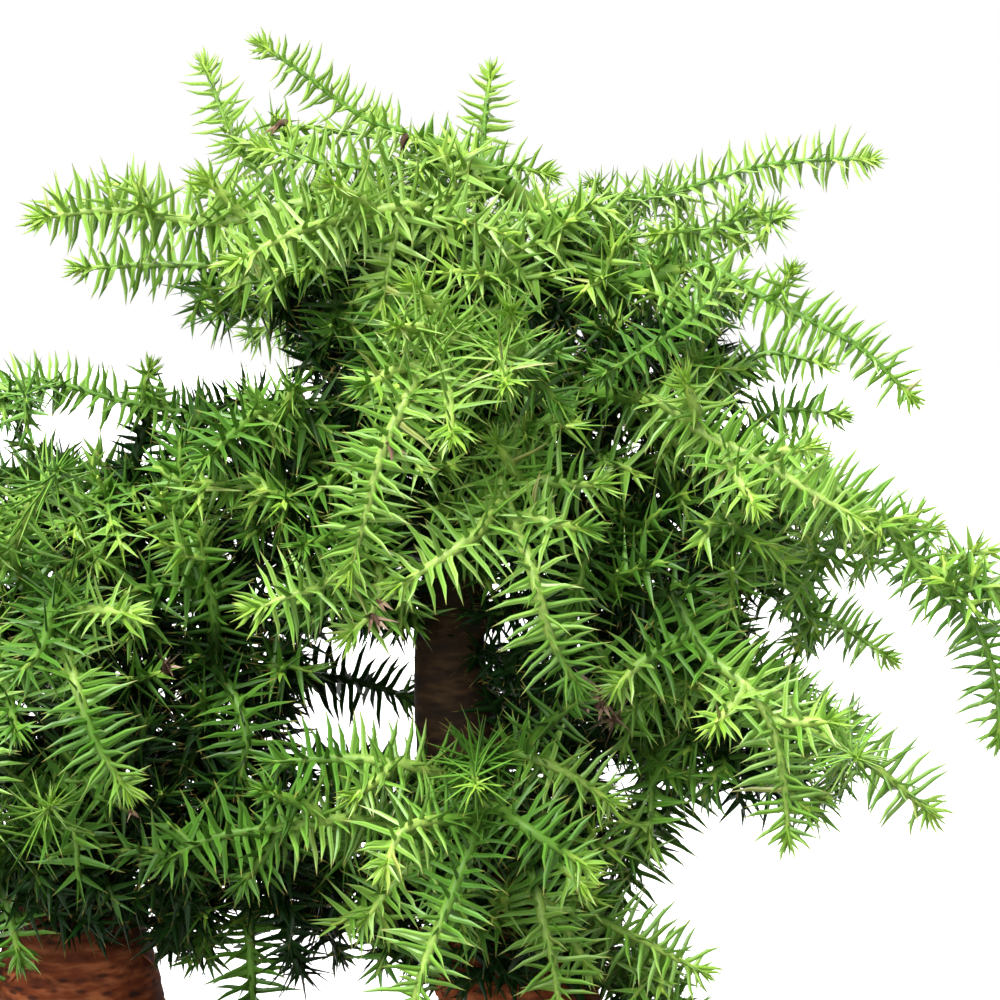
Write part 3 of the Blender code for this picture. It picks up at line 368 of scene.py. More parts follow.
# Light: world strength for all but the camera; name, side from the front, rise, strength, softness
AMBIENT_ABOVE = 0.26
AMBIENT_BELOW = 0.05
AMBIENT_EDGE = 0.6
FLOOR_RADIUS = 6.0
LAMPS = (
    ("key", -22, 60, 6.8, 30),
    ("fill", -24, 14, 3.2, 50),
    ("back", 165, 50, 2.4, 60),
)

# Trunks: (across, depth, height, radius) of the centre line
RIGHT_TRUNK = (
    (46, 0, ROOT_FOOT, 27), (45.5, 0, 56, 26), (44, 0, 76, 23.5), (41, 0, 102, 21), (36, -1, 126, 17.5),
    (29, -2, 150, 13), (24, -2, 178, 10), (24, -1, 206, 8.6), (30, 0, 236, 7.2),
    (41, 2, 262, 5.8), (50, 3, 286, 4.4), (55, 4, 306, 3.2),
)
RIGHT_LEADER = ((27, -1, 222, 6.6), (18, -2, 248, 5.4), (9, -2, 274, 4.4), (4, -2, 300, 3.2))
LEFT_TRUNK = (
    (-69, 8, ROOT_FOOT, 25), (-69.5, 8, 56, 24), (-73, 7, 78, 22.5), (-75.5, 6, 104, 21.2),
    (-76, 5, 124, 15.8),
    (-76, 4, 148, 11.5), (-73, 3, 178, 8.2), (-67, 2, 206, 5.2), (-62, 2, 228, 3.4), (-60.5, 2, 239, 2.4),
)
TRUNKS = {"right": RIGHT_TRUNK, "leader": RIGHT_LEADER, "left": LEFT_TRUNK}

# Limbs of bare wood: trunk, height at which it leaves, seen place of its end
LIMBS = {
    "crown_left": ("leader", 290, (-8, 304, -14)),
    "crown_front": ("leader", 282, (14, 303, -26)),
    "crown_bridge": ("right", 298, (14, 324, -8)),
    "crown_back": ("right", 292, (34, 312, 34)),
    "top_right_back": ("right", 284, (72, 307, 26)),
    "top_right": ("right", 272, (84, 290, -18)),
    "upper_right": ("right", 252, (74, 256, -36)),
    "upper_front": ("right", 226, (31, 268, -52)),
    "mid_front": ("right", 204, (35, 234, -56)),
    "mid_right": ("right", 196, (76, 205, -34)),
    "mid_right_back": ("right", 214, (86, 216, 28)),
    "low_right": ("right", 162, (70, 166, -12)),
    "low_front": ("right", 138, (30, 156, -48)),
    "mid_left": ("leader", 236, (-18, 243, -14)),
    "mid_left_back": ("leader", 256, (6, 262, 40)),
    "back_low": ("right", 156, (46, 172, 52)),
    "back_mid": ("right", 200, (20, 212, 56)),
    "back_high": ("leader", 268, (14, 284, 46)),
    "left_front": ("left", 166, (-76, 205, -52)),
    "left_outer": ("left", 182, (-110, 206, -14)),
    "left_inner": ("left", 172, (-44, 186, -14)),
    "left_top": ("left", 226, (-52, 258, 12)),
    "left_low_outer": ("left", 130, (-108, 142, -22)),
    "left_low_inner": ("left", 128, (-42, 140, -8)),
    "left_back": ("left", 160, (-78, 182, 54)),
    "left_back_high": ("left", 200, (-94, 226, 36)),
}

# Sprays: limb, share of the limb's length where it starts, seen places that it passes and ends at,
# then its side shoots, each with the share of the spray's length where it starts
SPRAYS = {
    "front_droop": (
        "upper_front", 1.0,
        [(21, 270, -70), (12, 256, -84), (6, 243, -88), (2.5, 230, -88), (-3, 210, -86)],
        [(0.16, [(13.5, 286, -74)]), (0.24, [(9, 275, -86)]), (0.36, [(0, 259, -84)]),
         (0.3, [(24, 246, -92)])],
    ),
    "front_star": (
        "upper_front", 0.86, [(36, 270, -66), (38, 260, -92)],
        [(0.25, [(44, 268, -64), (53, 268.5, -66)]), (0.5, [(45, 262, -68), (53, 254, -66)]),
         (0.4, [(39, 280, -78)])],
    ),
    "front_droop_right": (
        "mid_front", 1.0, [(40, 224, -68), (44, 214, -76), (47, 203, -78), (50, 193, -76), (57, 181, -72)],
        [(0.18, [(30, 221, -80), (20, 214, -84), (9, 207, -84)]), (0.26, [(50, 224, -72), (60, 222, -70)])],
    ),
    "front_right_small": (
        "mid_front", 0.9, [(46, 235, -62), (55, 234, -62), (64, 234, -58)],
        [(0.3, [(35, 246, -66)])],
    ),
    "crown_left_long": (
        "crown_left", 1.0, [(-36, 302, -16), (-65, 305, -20), (-83, 303, -22)],
        [(0.3, [(-40, 314, -22)])],
    ),
    "crown_left_under": (
        "crown_left", 0.7, [(-14, 292, 0), (-36, 291, 2), (-55, 291, 2), (-73, 290, 0)],
        [(0.12, [(-6, 280, -8), (-12, 268, -12)]), (0.3, [(-26, 294, 14), (-36, 297, 24)])],
    ),
    "crown_front_left": (
        "crown_front", 1.0, [(-3, 303, -36), (-17, 299, -44), (-33, 291, -50)],
        [(0.3, [(-8, 312, -46)])],
    ),
    "crown_upright": (
        "crown_left", 0.6, [(-14, 305, 22), (-30, 320, 34), (-40, 343, 40)],
        [(0.25, [(-30, 306, 30), (-42, 310, 32)])],
    ),
    "crown_long": (
        "crown_bridge", 1.0, [(2.6, 328, -10), (-15.6, 341, -14), (-26, 348, -16)], [],
    ),
    "crown_mass": (
        "crown_bridge", 0.75, [(14, 316, 8), (-8, 317, 12), (-26, 321, 14)],
        [(0.35, [(4, 330, 18)]), (0.1, [(18, 304, 16), (28, 296, 22)])],
    ),
    "crown_upright_back": (
        "crown_back", 1.0, [(32, 322, 42), (34, 341, 45)],
        [(0.2, [(50, 314, 44)]), (0.12, [(24, 306, 40), (20, 294, 40)])],
    ),
    "right_back_long": (
        "top_right_back", 1.0, [(82, 310, 34), (102, 316, 42), (120, 318, 46), (133, 318, 48)],
        [(0.2, [(80, 298, 44)]), (0.12, [(66, 308, 14), (60, 312, 2)])],
    ),
    "top_right_hook": (
        "top_right", 0.8, [(86, 297, -14), (98, 303, -8), (110, 304, -4)],
        [(0.3, [(76, 299, -26)]), (0.12, [(70, 282, -4), (62, 270, 2)])],
    ),
    "right_arch": (
        "top_right", 1.0, [(102, 284, -24), (116, 277, -28), (129, 270, -30), (144, 256, -30)],
        [(0.35, [(112, 290, -34)]), (0.14, [(84, 276, -32), (72, 268, -38), (62, 262, -42)])],
    ),
    "right_back_pair": (
        "mid_right_back", 0.7, [(92, 240, 30), (108, 253, 30), (126, 252, 28)],
        [(0.35, [(98, 262, 34), (104, 268, 36), (122, 265, 34)]), (0.5, [(119, 240, 38)]),
         (0.25, [(78, 250, 26), (72, 262, 22)])],
    ),
    "right_front_big": (
        "upper_right", 1.0, [(90, 247, -42), (104, 240, -46), (119, 231, -50), (130, 225, -52)],
        [(0.2, [(84, 262, -52)]), (0.4, [(103, 228, -56)]), (0.55, [(118, 244, -44)])],
    ),
    "right_far_arch": (
        "upper_right", 0.8,
        [(90, 240, -22), (116, 236, -30), (134, 226, -34), (149, 208, -34), (160, 198, -32),
         (166, 182, -30), (167, 166, -28)],
        [(0.55, [(150, 222, -30)]), (0.36, [(126, 222, -24)])],
    ),
    "right_inner_droop": (
        "mid_right", 0.75, [(76, 226, -22), (88, 230, -22), (95, 220, -24), (100, 209, -24)],
        [(0.25, [(66, 228, -26)]), (0.14, [(60, 216, -34), (56, 204, -36)])],
    ),
    "right_low_back": (
        "mid_right_back", 1.0, [(110, 204, 32), (122, 199, 32), (139, 188, 30)],
        [(0.3, [(112, 218, 40)]), (0.14, [(90, 202, 28), (86, 190, 26)])],
    ),
    "right_low_front": (
        "mid_right", 1.0,
        [(90, 190, -44), (102, 180, -50), (108, 170, -52), (111, 155, -52), (112, 140, -50)],
        [(0.45, [(92, 170, -58)]), (0.6, [(124, 172, -58)]), (0.2, [(74, 188, -48), (66, 180, -50)])],
    ),
    "right_rosette": (
        "mid_right", 0.9, [(104, 184, -22), (118, 170, -36), (127, 164, -54), (130, 162, -72)],
        [(0.35, [(124, 168, -26), (138, 157, -24), (150, 147, -22)]),
         (0.16, [(92, 178, -12), (94, 162, -10)])],
    ),
    "low_right_dark": (
        "low_right", 1.0, [(84, 160, -8), (79, 146, -6), (73, 136, -6), (65, 122, -6)],
        [(0.25, [(98, 164, 4)]), (0.12, [(72, 176, 4), (64, 186, 8)])],
    ),
    "low_right_tip": (
        "low_right", 0.55, [(54, 140, -34), (60, 122, -34), (75, 113, -30), (90, 105, -28)], [],
    ),
    "bottom_mid": (
        "low_front", 0.6, [(44, 134, -46), (48, 118, -52), (51, 105, -52), (52, 92, -50)],
        [(0.3, [(59, 128, -56)]), (0.5, [(60, 106, -46)])],
    ),
    "bottom_front": (
        "low_front", 1.0, [(31, 146, -66), (25, 129, -78), (19, 114, -82), (15, 102, -82), (12, 88, -80)],
        [(0.2, [(44, 143, -72), (60, 133, -72)]), (0.26, [(11, 143, -80), (6, 132, -84)])],
    ),
    "low_left_upper": (
        "low_front", 0.85, [(14, 160, -48), (-4, 162, -50), (-24, 161, -50)],
        [(0.4, [(-2, 152, -58)])],
    ),
    "low_left_long": (
        "low_front", 0.7,
        [(14, 143, -40), (-3, 146, -48), (-18, 144, -52), (-39, 141, -54), (-53, 134, -54)],
        [(0.5, [(-26, 154, -60)]), (0.14, [(8, 128, -42), (0, 118, -42)]), (0.62, [(-32, 128, -50)])],
    ),
    "low_right_front": (
        "low_front", 0.9, [(40, 163, -50), (48, 161, -52), (56, 157, -52), (66, 150, -50)],
        [(0.2, [(50, 172, -54), (58, 178, -58)])],
    ),
    "low_front_star": (
        "low_front", 0.95, [(30, 161, -64), (30, 154, -88)], [],
    ),
    "inner_left": (
        "mid_left", 0.6, [(-8, 226, -22), (-19, 234, -28), (-37, 232, -30)],
        [(0.5, [(-28, 222, -26)]), (0.16, [(-6, 214, -18), (-14, 204, -20)])],
    ),
    "mid_left_small": (
        "mid_left", 1.0, [(-26, 253, -30), (-32, 248, -38), (-41, 240, -44)],
        [(0.4, [(-16, 260, -44)])],
    ),
    "mid_left_low": (
        "mid_left", 0.4, [(2, 218, -40), (-9, 208, -52), (-18, 205, -56), (-29, 201, -56)],
        [(0.45, [(-16, 218, -60)]), (0.3, [(4, 202, -46), (-4, 194, -48)])],
    ),
    "left_top_branch": (
        "mid_left", 0.85, [(-26, 256, 2), (-42, 253, 4), (-62, 256, 4), (-83, 261, 4), (-104, 257, 4)],
        [(0.5, [(-54, 265, 0)]), (0.2, [(-30, 240, 8), (-32, 224, 10)]),
         (0.36, [(-46, 242, 0), (-50, 228, -4)])],
    ),
    "left_inner_cross": (
        "left_inner", 0.8, [(-25, 182, 18), (-5, 183, 26), (14, 178, 28)],
        [(0.12, [(-38, 196, 10), (-38, 212, 10)]), (0.3, [(-22, 168, 20), (-24, 154, 20)])],
    ),
    "left_rosette": (
        "left_front", 0.8, [(-90, 214, -54), (-87, 226, -62), (-82, 233, -74), (-78, 238, -90)],
        [(0.3, [(-98, 226, -66)])],
    ),
    "left_droop": (
        "left_front", 1.0, [(-77, 193, -68), (-74, 180, -78), (-69, 166, -80), (-61, 153, -78)],
        [(0.16, [(-84, 190, -80), (-90, 184, -82)]), (0.2, [(-66, 201, -72), (-59, 200, -74)])],
    ),
    "left_inner_low": (
        "left_inner", 1.0, [(-34, 180, -26), (-30, 168, -34), (-32, 154, -36)],
        [(0.2, [(-40, 170, -18), (-46, 158, -18)]), (0.14, [(-38, 200, -24), (-42, 216, -26)])],
    ),
    "left_edge": (
        "left_outer", 0.6, [(-98, 190, -36), (-101, 170, -50), (-100, 148, -54)],
        [(0.4, [(-90, 168, -56)])],
    ),
    "left_low_front": (
        "left_low_outer", 0.6, [(-88, 138, -36), (-84, 146, -50), (-81, 150, -64)],
        [(0.4, [(-98, 146, -56)])],
    ),
    "left_bottom_hang": (
        "left_low_inner", 1.0, [(-32, 134, -12), (-30, 121, -14), (-29, 104, -14), (-28.5, 88, -12)],
        [(0.2, [(-42, 128, -10), (-46, 116, -8)])],
    ),
    "left_bottom_back": (
        "left_low_inner", 0.8, [(-24, 136, 24), (-13, 122, 42), (-5, 109, 46)],
        [(0.4, [(-2, 130, 38), (6, 120, 40)]), (0.15, [(-36, 150, 10), (-38, 164, 8)])],
    ),
    "left_bark_tip": (
        "left_low_outer", 0.7, [(-95, 130, -24), (-92, 118, -30), (-90, 108, -30)], [],
    ),
}

# Fans of shoots on the limbs that the front doesn't show: limb, and how many main shoots
FANS = {
    "back_low": 2, "back_mid": 2, "back_high": 2, "mid_left_back": 1, "left_back": 2, "left_back_high": 1,
    "left_outer": 1, "left_low_outer": 1,
}
FAN_LENGTH = (56, 84)
FAN_SPREAD = 56
FAN_SHARES = (1.0, 0.9)
FAN_DROOP = 0.21
FAN_RISE = 0.12
FAN_TURN_SPREAD = 8
FAN_BENDS = (0.45, 0.8)
FAN_SIDE_SHARES = (0.3, 0.54)
FAN_SIDE_LENGTH = (0.36, 0.5)
FAN_SECOND_RISE = 0.2
# A fan's side shoot: how far it points aside and along, where it bends and how far it arches
FAN_SIDE_WAY = (0.85, 0.55)
FAN_SIDE_BEND = 0.6
FAN_SIDE_ARCH = 0.08

# A needle's outline as shares of its length: height, edge towards the shoot's tip, edge towards its foot, and
# half thickness. Then its tip, and how much of the edge's colour the tip has.
NEEDLE_ROWS = {
    "long": ((0.02, 0.026, -0.122, 0.026), (0.22, 0.042, -0.062, 0.026), (0.60, 0.054, -0.034, 0.020)),
    "plain": ((0.02, 0.028, -0.132, 0.028), (0.32, 0.056, -0.070, 0.026)),
}
NEEDLE_TIP = (1.0, 0.100)
TIP_EDGE = 0.6


def seen(across, height, depth):
    """The point that looks to be at this place across and up, from the front, and lies this deep."""
    plane = Vector((across, 0, height))
    return (EYE + (plane - EYE) * (1 + depth / VIEW_BACK)) * MM


def looks_at(point):
    """Where a point looks to be, across and up in the plane of the trunks, in millimetres."""
    place = Vector(point) / MM
    flat = EYE + (place - EYE) * (VIEW_BACK / (place.y + VIEW_BACK))
    return flat.x, flat.z


def smooth_path(points, steps=10):
    """A centripetal Catmull-Rom curve through the points, as a list of points close together."""
    ends = [points[0] * 2 - points[1], *points, points[-1] * 2 - points[-2]]
    path = []
    for p0, p1, p2, p3 in zip(ends, ends[1:], ends[2:], ends[3:]):
        t1 = (p1 - p0).length ** 0.5
        t2 = t1 + (p2 - p1).length ** 0.5
        t3 = t2 + (p3 - p2).length ** 0.5
        for step in range(steps):
            t = t1 + (t2 - t1) * step / steps
            middle = p1.lerp(p2, (t - t1) / (t2 - t1))
            first = p0.lerp(p1, t / t1).lerp(middle, t / t2)
            last = middle.lerp(p2.lerp(p3, (t - t2) / (t3 - t2)), (t - t1) / (t3 - t1))
            path.append(first.lerp(last, (t - t1) / (t2 - t1)))
    return [*path, points[-1].copy()]


class Path:
    """A line through space that is read by its length from the start."""

    def __init__(self, points):
        self.points = np.array([tuple(p) for p in points])
        steps = np.linalg.norm(np.diff(self.points, axis=0), axis=1)
        self.marks = np.concatenate([[0], np.cumsum(steps)])
        self.length = float(self.marks[-1])

    def at(self, length):
        """The point that lies this far along."""
        return Vector([float(np.interp(length, self.marks, self.points[:, i])) for i in range(3)])

    def tangent(self, length):
        """Which way the line runs there."""
        step = 0.8 * MM
        return (self.at(length + step) - self.at(length - step)).normalized()


class Shoot:
    """One leafy stem and the limb that it belongs to. A shoot is in the solids too, a star is the crowded end
    of a shoot, a twig fills the crown, a dry one is dead, and a sleeve is the skin of a limb's outer part."""

    def __init__(self, limb, path, kind="shoot", size=1.0, girth=None, age=0.0):
        self.limb = limb
        self.size = size
        self.shade = [0.0]
        self.path = path
        self.kind = kind
        self.age = age
        self.girth = girth


def limb_path(limb):
    """From inside the trunk, out and over in a low arch, to the limb's end."""
    trunk, height, end = LIMBS[limb]
    line = np.array(TRUNKS[trunk], float)
    start = Vector([float(np.interp(height, line[:, 2], line[:, i])) for i in (0, 1, 2)]) * MM
    reach = seen(*end) - start
    middle = start + reach * 0.5 + UP * reach.length * LIMB_ARCH
    return Path(smooth_path([start, middle, seen(*end)], 4))


def wood_surfaces():
    """The solid trunks with their limbs, in the tables' own place."""
    trees = []
    for node in ("trunk_right", "trunk_left"):
        mesh = frame["nodes"][node].data
        corners = [vert.co - POT_PLACE for vert in mesh.vertices]
        trees.append(BVHTree.FromPolygons(corners, [tuple(face.vertices) for face in mesh.polygons]))
    return trees


def stands_clear(foot, direction, wood):
    """Whether a stem's round foot keeps off the wood all the way across."""
    aside = direction.orthogonal().normalized() * SOLID_STEM_RADIUS * MM
    rim = [foot + Matrix.Rotation(math.radians(45 * turn), 3, direction) @ aside for turn in range(8)]
    disc = BVHTree.FromPolygons([foot, *rim], [(0, turn + 1, (turn + 1) % 8 + 1) for turn in range(8)])
    return all(
        not disc.overlap(tree) and min(tree.find_nearest(point)[3] for point in rim) > GAP * MM
        for tree in wood
    )


def leave_point(inside, direction, wood):
    """Where a stem's foot stands just clear of the wood, on a line from inside it."""
    hits = [tree.ray_cast(inside, direction)[3] for tree in wood]
    reach = min(hit for hit in hits if hit) + GAP * MM
    while not stands_clear(inside + direction * reach, direction, wood):
        reach += CLEAR_STEP * MM
    return inside + direction * reach


def spray_path(limb, share, places, wood):
    """The path of a spray's main shoot, from the limb's surface through the places."""
    at = limb.length * min(share, LIMB_LAST_SHARE)
    inside = limb.at(at)
    tangent = limb.tangent(at)
    toward = (places[0] - inside).normalized()
    if share < 1:
        away = (toward - tangent * toward.dot(tangent)).normalized()
        toward = (away + tangent * LEAVE_LEAN).normalized()
    else:
        toward = tangent
    foot = leave_point(inside, toward, wood)
    reach = (places[0] - foot).length
    return Path(smooth_path([foot, foot + toward * min(MAIN_START * MM, reach * MAIN_START_SHARE), *places]))


def side_path(parent, share, places):
    """A side shoot's path, from the middle of its parent stem."""
    at = parent.length * share
    inside = parent.at(at)
    tangent = parent.tangent(at)
    toward = (places[0] - inside).normalized()
    away = (toward - tangent * toward.dot(tangent)).normalized()
    lean = (away + tangent * LEAVE_LEAN).normalized()
    return Path(smooth_path([inside, inside + lean * SIDE_START * MM, *places]))


def nearest_gap(path, others):
    """The least distance from a path, past its first stretch, to the points of other paths."""
    own = path.points[path.marks > NEAR_ROOT * MM]
    apart = own[:, None, :] - np.concatenate(others)[None, :, :]
    return float(np.sqrt((apart**2).sum(axis=2)).min())


def bent_clear(make, places, taken):
    """The path through the places, or the least shifted one that keeps off the paths already there."""
    tried = []
    for size in SHIFTS:
        for direction in SHIFT_WAYS:
            shift = Vector(direction) * size * MM
            path = make([place + shift * ((i + 1) / len(places)) ** 0.5 for i, place in enumerate(places)])
            room = nearest_gap(path, taken)
            if room > STEM_CLEARANCE * MM:
                return path
            tried.append((room, path))
    return max(tried, key=lambda attempt: attempt[0])[1]


def fan_places(limb, index, count):
    """A shoot that carries on outwards from a limb's end and droops, one of a fan."""
    end = limb.at(limb.length)
    out = end - limb.at(0)
    out.z = 0
    out.normalize()
    spread = (index - (count - 1) / 2) * FAN_SPREAD + DICE.uniform(-FAN_TURN_SPREAD, FAN_TURN_SPREAD)
    out = Matrix.Rotation(math.radians(spread), 3, "Z") @ out
    length = DICE.uniform(*FAN_LENGTH) * MM
    rise = UP * length * FAN_RISE
    return [end + out * length * FAN_BENDS[0] + rise,
            end + out * length * FAN_BENDS[1] + rise * FAN_SECOND_RISE,
            end + out * length - UP * length * FAN_DROOP]


def fan_sides(path):
    """Short side shoots, one each way in turn, for a spray of the fan."""
    sides = []
    for index, share in enumerate(FAN_SIDE_SHARES):
        at = path.at(path.length * share)
        tangent = path.tangent(path.length * share)
        aside = tangent.cross(UP).normalized() * (1 if index % 2 else -1)
        length = path.length * DICE.uniform(*FAN_SIDE_LENGTH)
        reach = (aside * FAN_SIDE_WAY[0] + tangent * FAN_SIDE_WAY[1]).normalized() * length
        over = at + reach * FAN_SIDE_BEND + UP * length * FAN_SIDE_ARCH
        sides.append((share, [over, at + reach - UP * length * FAN_RISE]))
    return sides


def spray_rows(limbs):
    """Name, limb, share, places and side rows of each spray; a fan has no side rows yet."""
    rows = []
    for name, (limb, share, places, sides) in SPRAYS.items():
        side_rows = [(at, [seen(*place) for place in side]) for at, side in sides]
        rows.append((name, limb, share, [seen(*place) for place in places], side_rows))
    for limb, count in FANS.items():
        for index in range(count):
            places = fan_places(limbs[limb], index, count)
            rows.append((f"{limb}_{index + 1}", limb, FAN_SHARES[index], places, None))
    return rows


def plan_shoots(limbs):
    """Every shoot of the solids along the solids' own path, and which spray nodes each limb carries."""
    wood = wood_surfaces()
    shoots = []
    nodes = {limb: [] for limb in limbs}
    for name, limb, share, places, sides in spray_rows(limbs):
        taken = [path.points for other, path in limbs.items() if other != limb]
        taken += [shoot.path.points for shoot in shoots]
        path = bent_clear(lambda moved: spray_path(limbs[limb], share, moved, wood), places, taken)
        nodes[limb].append("spray_" + name)
        size = NEEDLE_SHARES.get(name, 1.0)
        shoots.append(Shoot(limb, path, "shoot", size))
        taken.append(limbs[limb].points)
        for at, row in fan_sides(path) if sides is None else sides:
            side = bent_clear(lambda moved: side_path(path, at, moved), row, taken)
            taken.append(side.points)
            shoots.append(Shoot(limb, side, "shoot", size))
    return shoots, nodes


def in_any(place, boxes):
    """Whether a place, as seen from the front, falls in one of the boxes."""
    across, height = looks_at(place)
    return any(low_x < across < high_x and low_z < height < high_z for low_x, high_x, low_z, high_z in boxes)


def fill_twigs(shoots, limbs):
    """Short twigs that reach from the nearest growth into the crown's empty places, by a seeded draw."""
    dice = random.Random(TWIG_SEED)
    stems = [(shoot.limb, shoot.path, shoot.size) for shoot in shoots]
    stems += [(limb, path, 1.0) for limb, path in limbs.items()]
    points = np.zeros((MOST_POINTS, 3))
    owners = np.zeros(MOST_POINTS, int)
    marks = np.zeros(MOST_POINTS)
    count = 0

    def remember(order, path):
        nonlocal count
        more = count + len(path.points)
        points[count:more] = path.points
        owners[count:more] = order
        marks[count:more] = path.marks
        count = more

    for order, (_, path, _) in enumerate(stems):
        remember(order, path)
    twigs = []
    for (nearer, further), (middle, halves, tries) in itertools.product(TWIG_REACHES, MASSES):
        for _ in range(tries // 2):
            place = [centre + half * dice.uniform(-1, 1) for centre, half in zip(middle, halves)]
            if sum(((at - centre) / half) ** 2 for at, centre, half in zip(place, middle, halves)) > 1:
                continue
            target = seen(*place)
            apart = np.linalg.norm(points[:count] - np.array(target), axis=1)
            nearest = int(apart.argmin())
            reach = float(apart[nearest])
            if not nearer * MM < reach < further * MM or in_any(target, OPENINGS):
                continue
            limb, stem, size = stems[int(owners[nearest])]
            mark = max(0.0, float(marks[nearest]) - TWIG_BACK * reach)
            start = stem.at(mark)
            along = stem.tangent(mark)
            away = (target - start) - along * along.dot(target - start)
            leave = (away.normalized() + along * LEAVE_LEAN).normalized()
            over = start.lerp(target, TWIG_BEND) + UP * reach * TWIG_ARCH
            if in_any(over, OPENINGS):
                continue
            path = Path(smooth_path([start, start + leave * TWIG_EASE * MM, over, target], 6))
            age = dice.uniform(*TWIG_AGES)
            twigs.append(Shoot(limb, path, "twig", size, age=age))
            stems.append((limb, path, size))
            remember(len(stems) - 1, path)
    return twigs


def linear(code):
    """A colour given as sRGB hex, as the linear values that a shader reads."""
    parts = [int(code[i:i + 2], 16) / 255 for i in (1, 3, 5)]
    return (*(part / 12.92 if part <= 0.04045 else ((part + 0.055) / 1.055) ** 2.4 for part in parts), 1)


def add_node(tree, kind, inputs=None, out=0, stops=(), **settings):
    """A node with its settings. Each input gets a value, a hex colour or another node's output, and a colour
    ramp gets its stops of place and hex colour. One of the node's outputs is given back."""
    made = tree.nodes.new(kind)
    for name, value in settings.items():
        setattr(made, name, value)
    for socket, value in (inputs or {}).items():
        if isinstance(value, bpy.types.NodeSocket):
            tree.links.new(value, made.inputs[socket])
        else:
            is_colour = isinstance(value, str) and value.startswith("#")
            made.inputs[socket].default_value = linear(value) if is_colour else value
    if stops:
        steps = made.color_ramp.elements
        while len(steps) < len(stops):
            steps.new(0.5)
        for step, (place, code) in zip(steps, stops):
            step.position = place
            step.color = linear(code)
    return made.outputs[out] if made.outputs else None


def new_object(name, mesh):
    """An object in the scene that shows a mesh, a light or a camera."""
    made = bpy.data.objects.new(name, mesh)
    bpy.context.scene.collection.objects.link(made)
    return made


def mesh_of(name, bm):
    """A bmesh as a mesh of this name; the bmesh is freed."""
    mesh = bpy.data.meshes.new(name)
    bm.to_mesh(mesh)
    bm.free()
    return mesh


def apply_modifiers(holder):
    """Gives an object the plain mesh that its modifiers make, and takes them off."""
    bpy.context.view_layer.update()
    graph = bpy.context.evaluated_depsgraph_get()
    holder.data = bpy.data.meshes.new_from_object(holder.evaluated_get(graph))
    holder.modifiers.clear()


def coat(mesh, material):
    """Gives a mesh one material."""
    mesh.materials.clear()
    mesh.materials.append(material)


def grown(name, host, tree, values):
    """The plain mesh that a geometry tree makes on a host mesh, as an object; values go by socket name."""
    holder = new_object(name, host)
    step = holder.modifiers.new(name, "NODES")
    step.node_group = tree
    for item in tree.interface.items_tree:
        if item.in_out == "INPUT" and item.name in values:
            step[item.identifier] = values[item.name]
    apply_modifiers(holder)
    bpy.data.meshes.remove(host)
    holder.data.name = name
    while holder.data.materials and not holder.data.materials[0]:
        holder.data.materials.pop(index=0)
    return holder


def point_values(mesh, name, values):
    """Keeps one number for each of a mesh's points under a name that the finishes read."""
    made = mesh.attributes.new(name, "FLOAT", "POINT")
    made.data.foreach_set("value", np.asarray(values, np.float32))


def needle_object(shape):
    """One needle along +Z: rings of an edge, a keel, an edge and a keel, closed to a sharp tip."""
    length = NEEDLE_LENGTH * MM
    bm = bmesh.new()
    rings = []
    for height, front, back, thick in NEEDLE_ROWS[shape]:
        middle = (front + back) / 2
        corners = ((-front, 0), (-middle, thick), (-back, 0), (-middle, -thick))
        rings.append([bm.verts.new(Vector((x, y, height)) * length) for x, y in corners])
    tip = bm.verts.new(Vector((-NEEDLE_TIP[1], 0, NEEDLE_TIP[0])) * length)
    for low, high in zip(rings, rings[1:]):
        for index in range(4):
            bm.faces.new((low[index], low[index - 1], high[index - 1], high[index]))
    for index in range(4):
        bm.faces.new((rings[-1][index], rings[-1][index - 1], tip))
    bm.faces.new(rings[0])
    bmesh.ops.recalc_face_normals(bm, faces=bm.faces)
    bmesh.ops.triangulate(bm, faces=bm.faces)
    mesh = mesh_of(shape + "_needle", bm)
    on_keel = [abs(vert.co.y) > 1e-7 for vert in mesh.vertices]
    point_values(mesh, "edge", [0.0 if keel else 1.0 for keel in on_keel[:-1]] + [TIP_EDGE])
    point_values(mesh, "rise", [vert.co.z / length for vert in mesh.vertices])
    return bpy.data.objects.new(shape + "_needle", mesh)


def new_growth_tree(name, inputs, output):
    """An empty geometry tree with inputs of these names and kinds, and the sockets that hand them over."""
    tree = bpy.data.node_groups.new(name, "GeometryNodeTree")
    for title, kind in inputs.items():
        tree.interface.new_socket(title, in_out="INPUT", socket_type="NodeSocket" + kind)
    tree.interface.new_socket(output, in_out="OUTPUT", socket_type="NodeSocketGeometry")
    return tree, add_node(tree, "NodeGroupInput").node.outputs


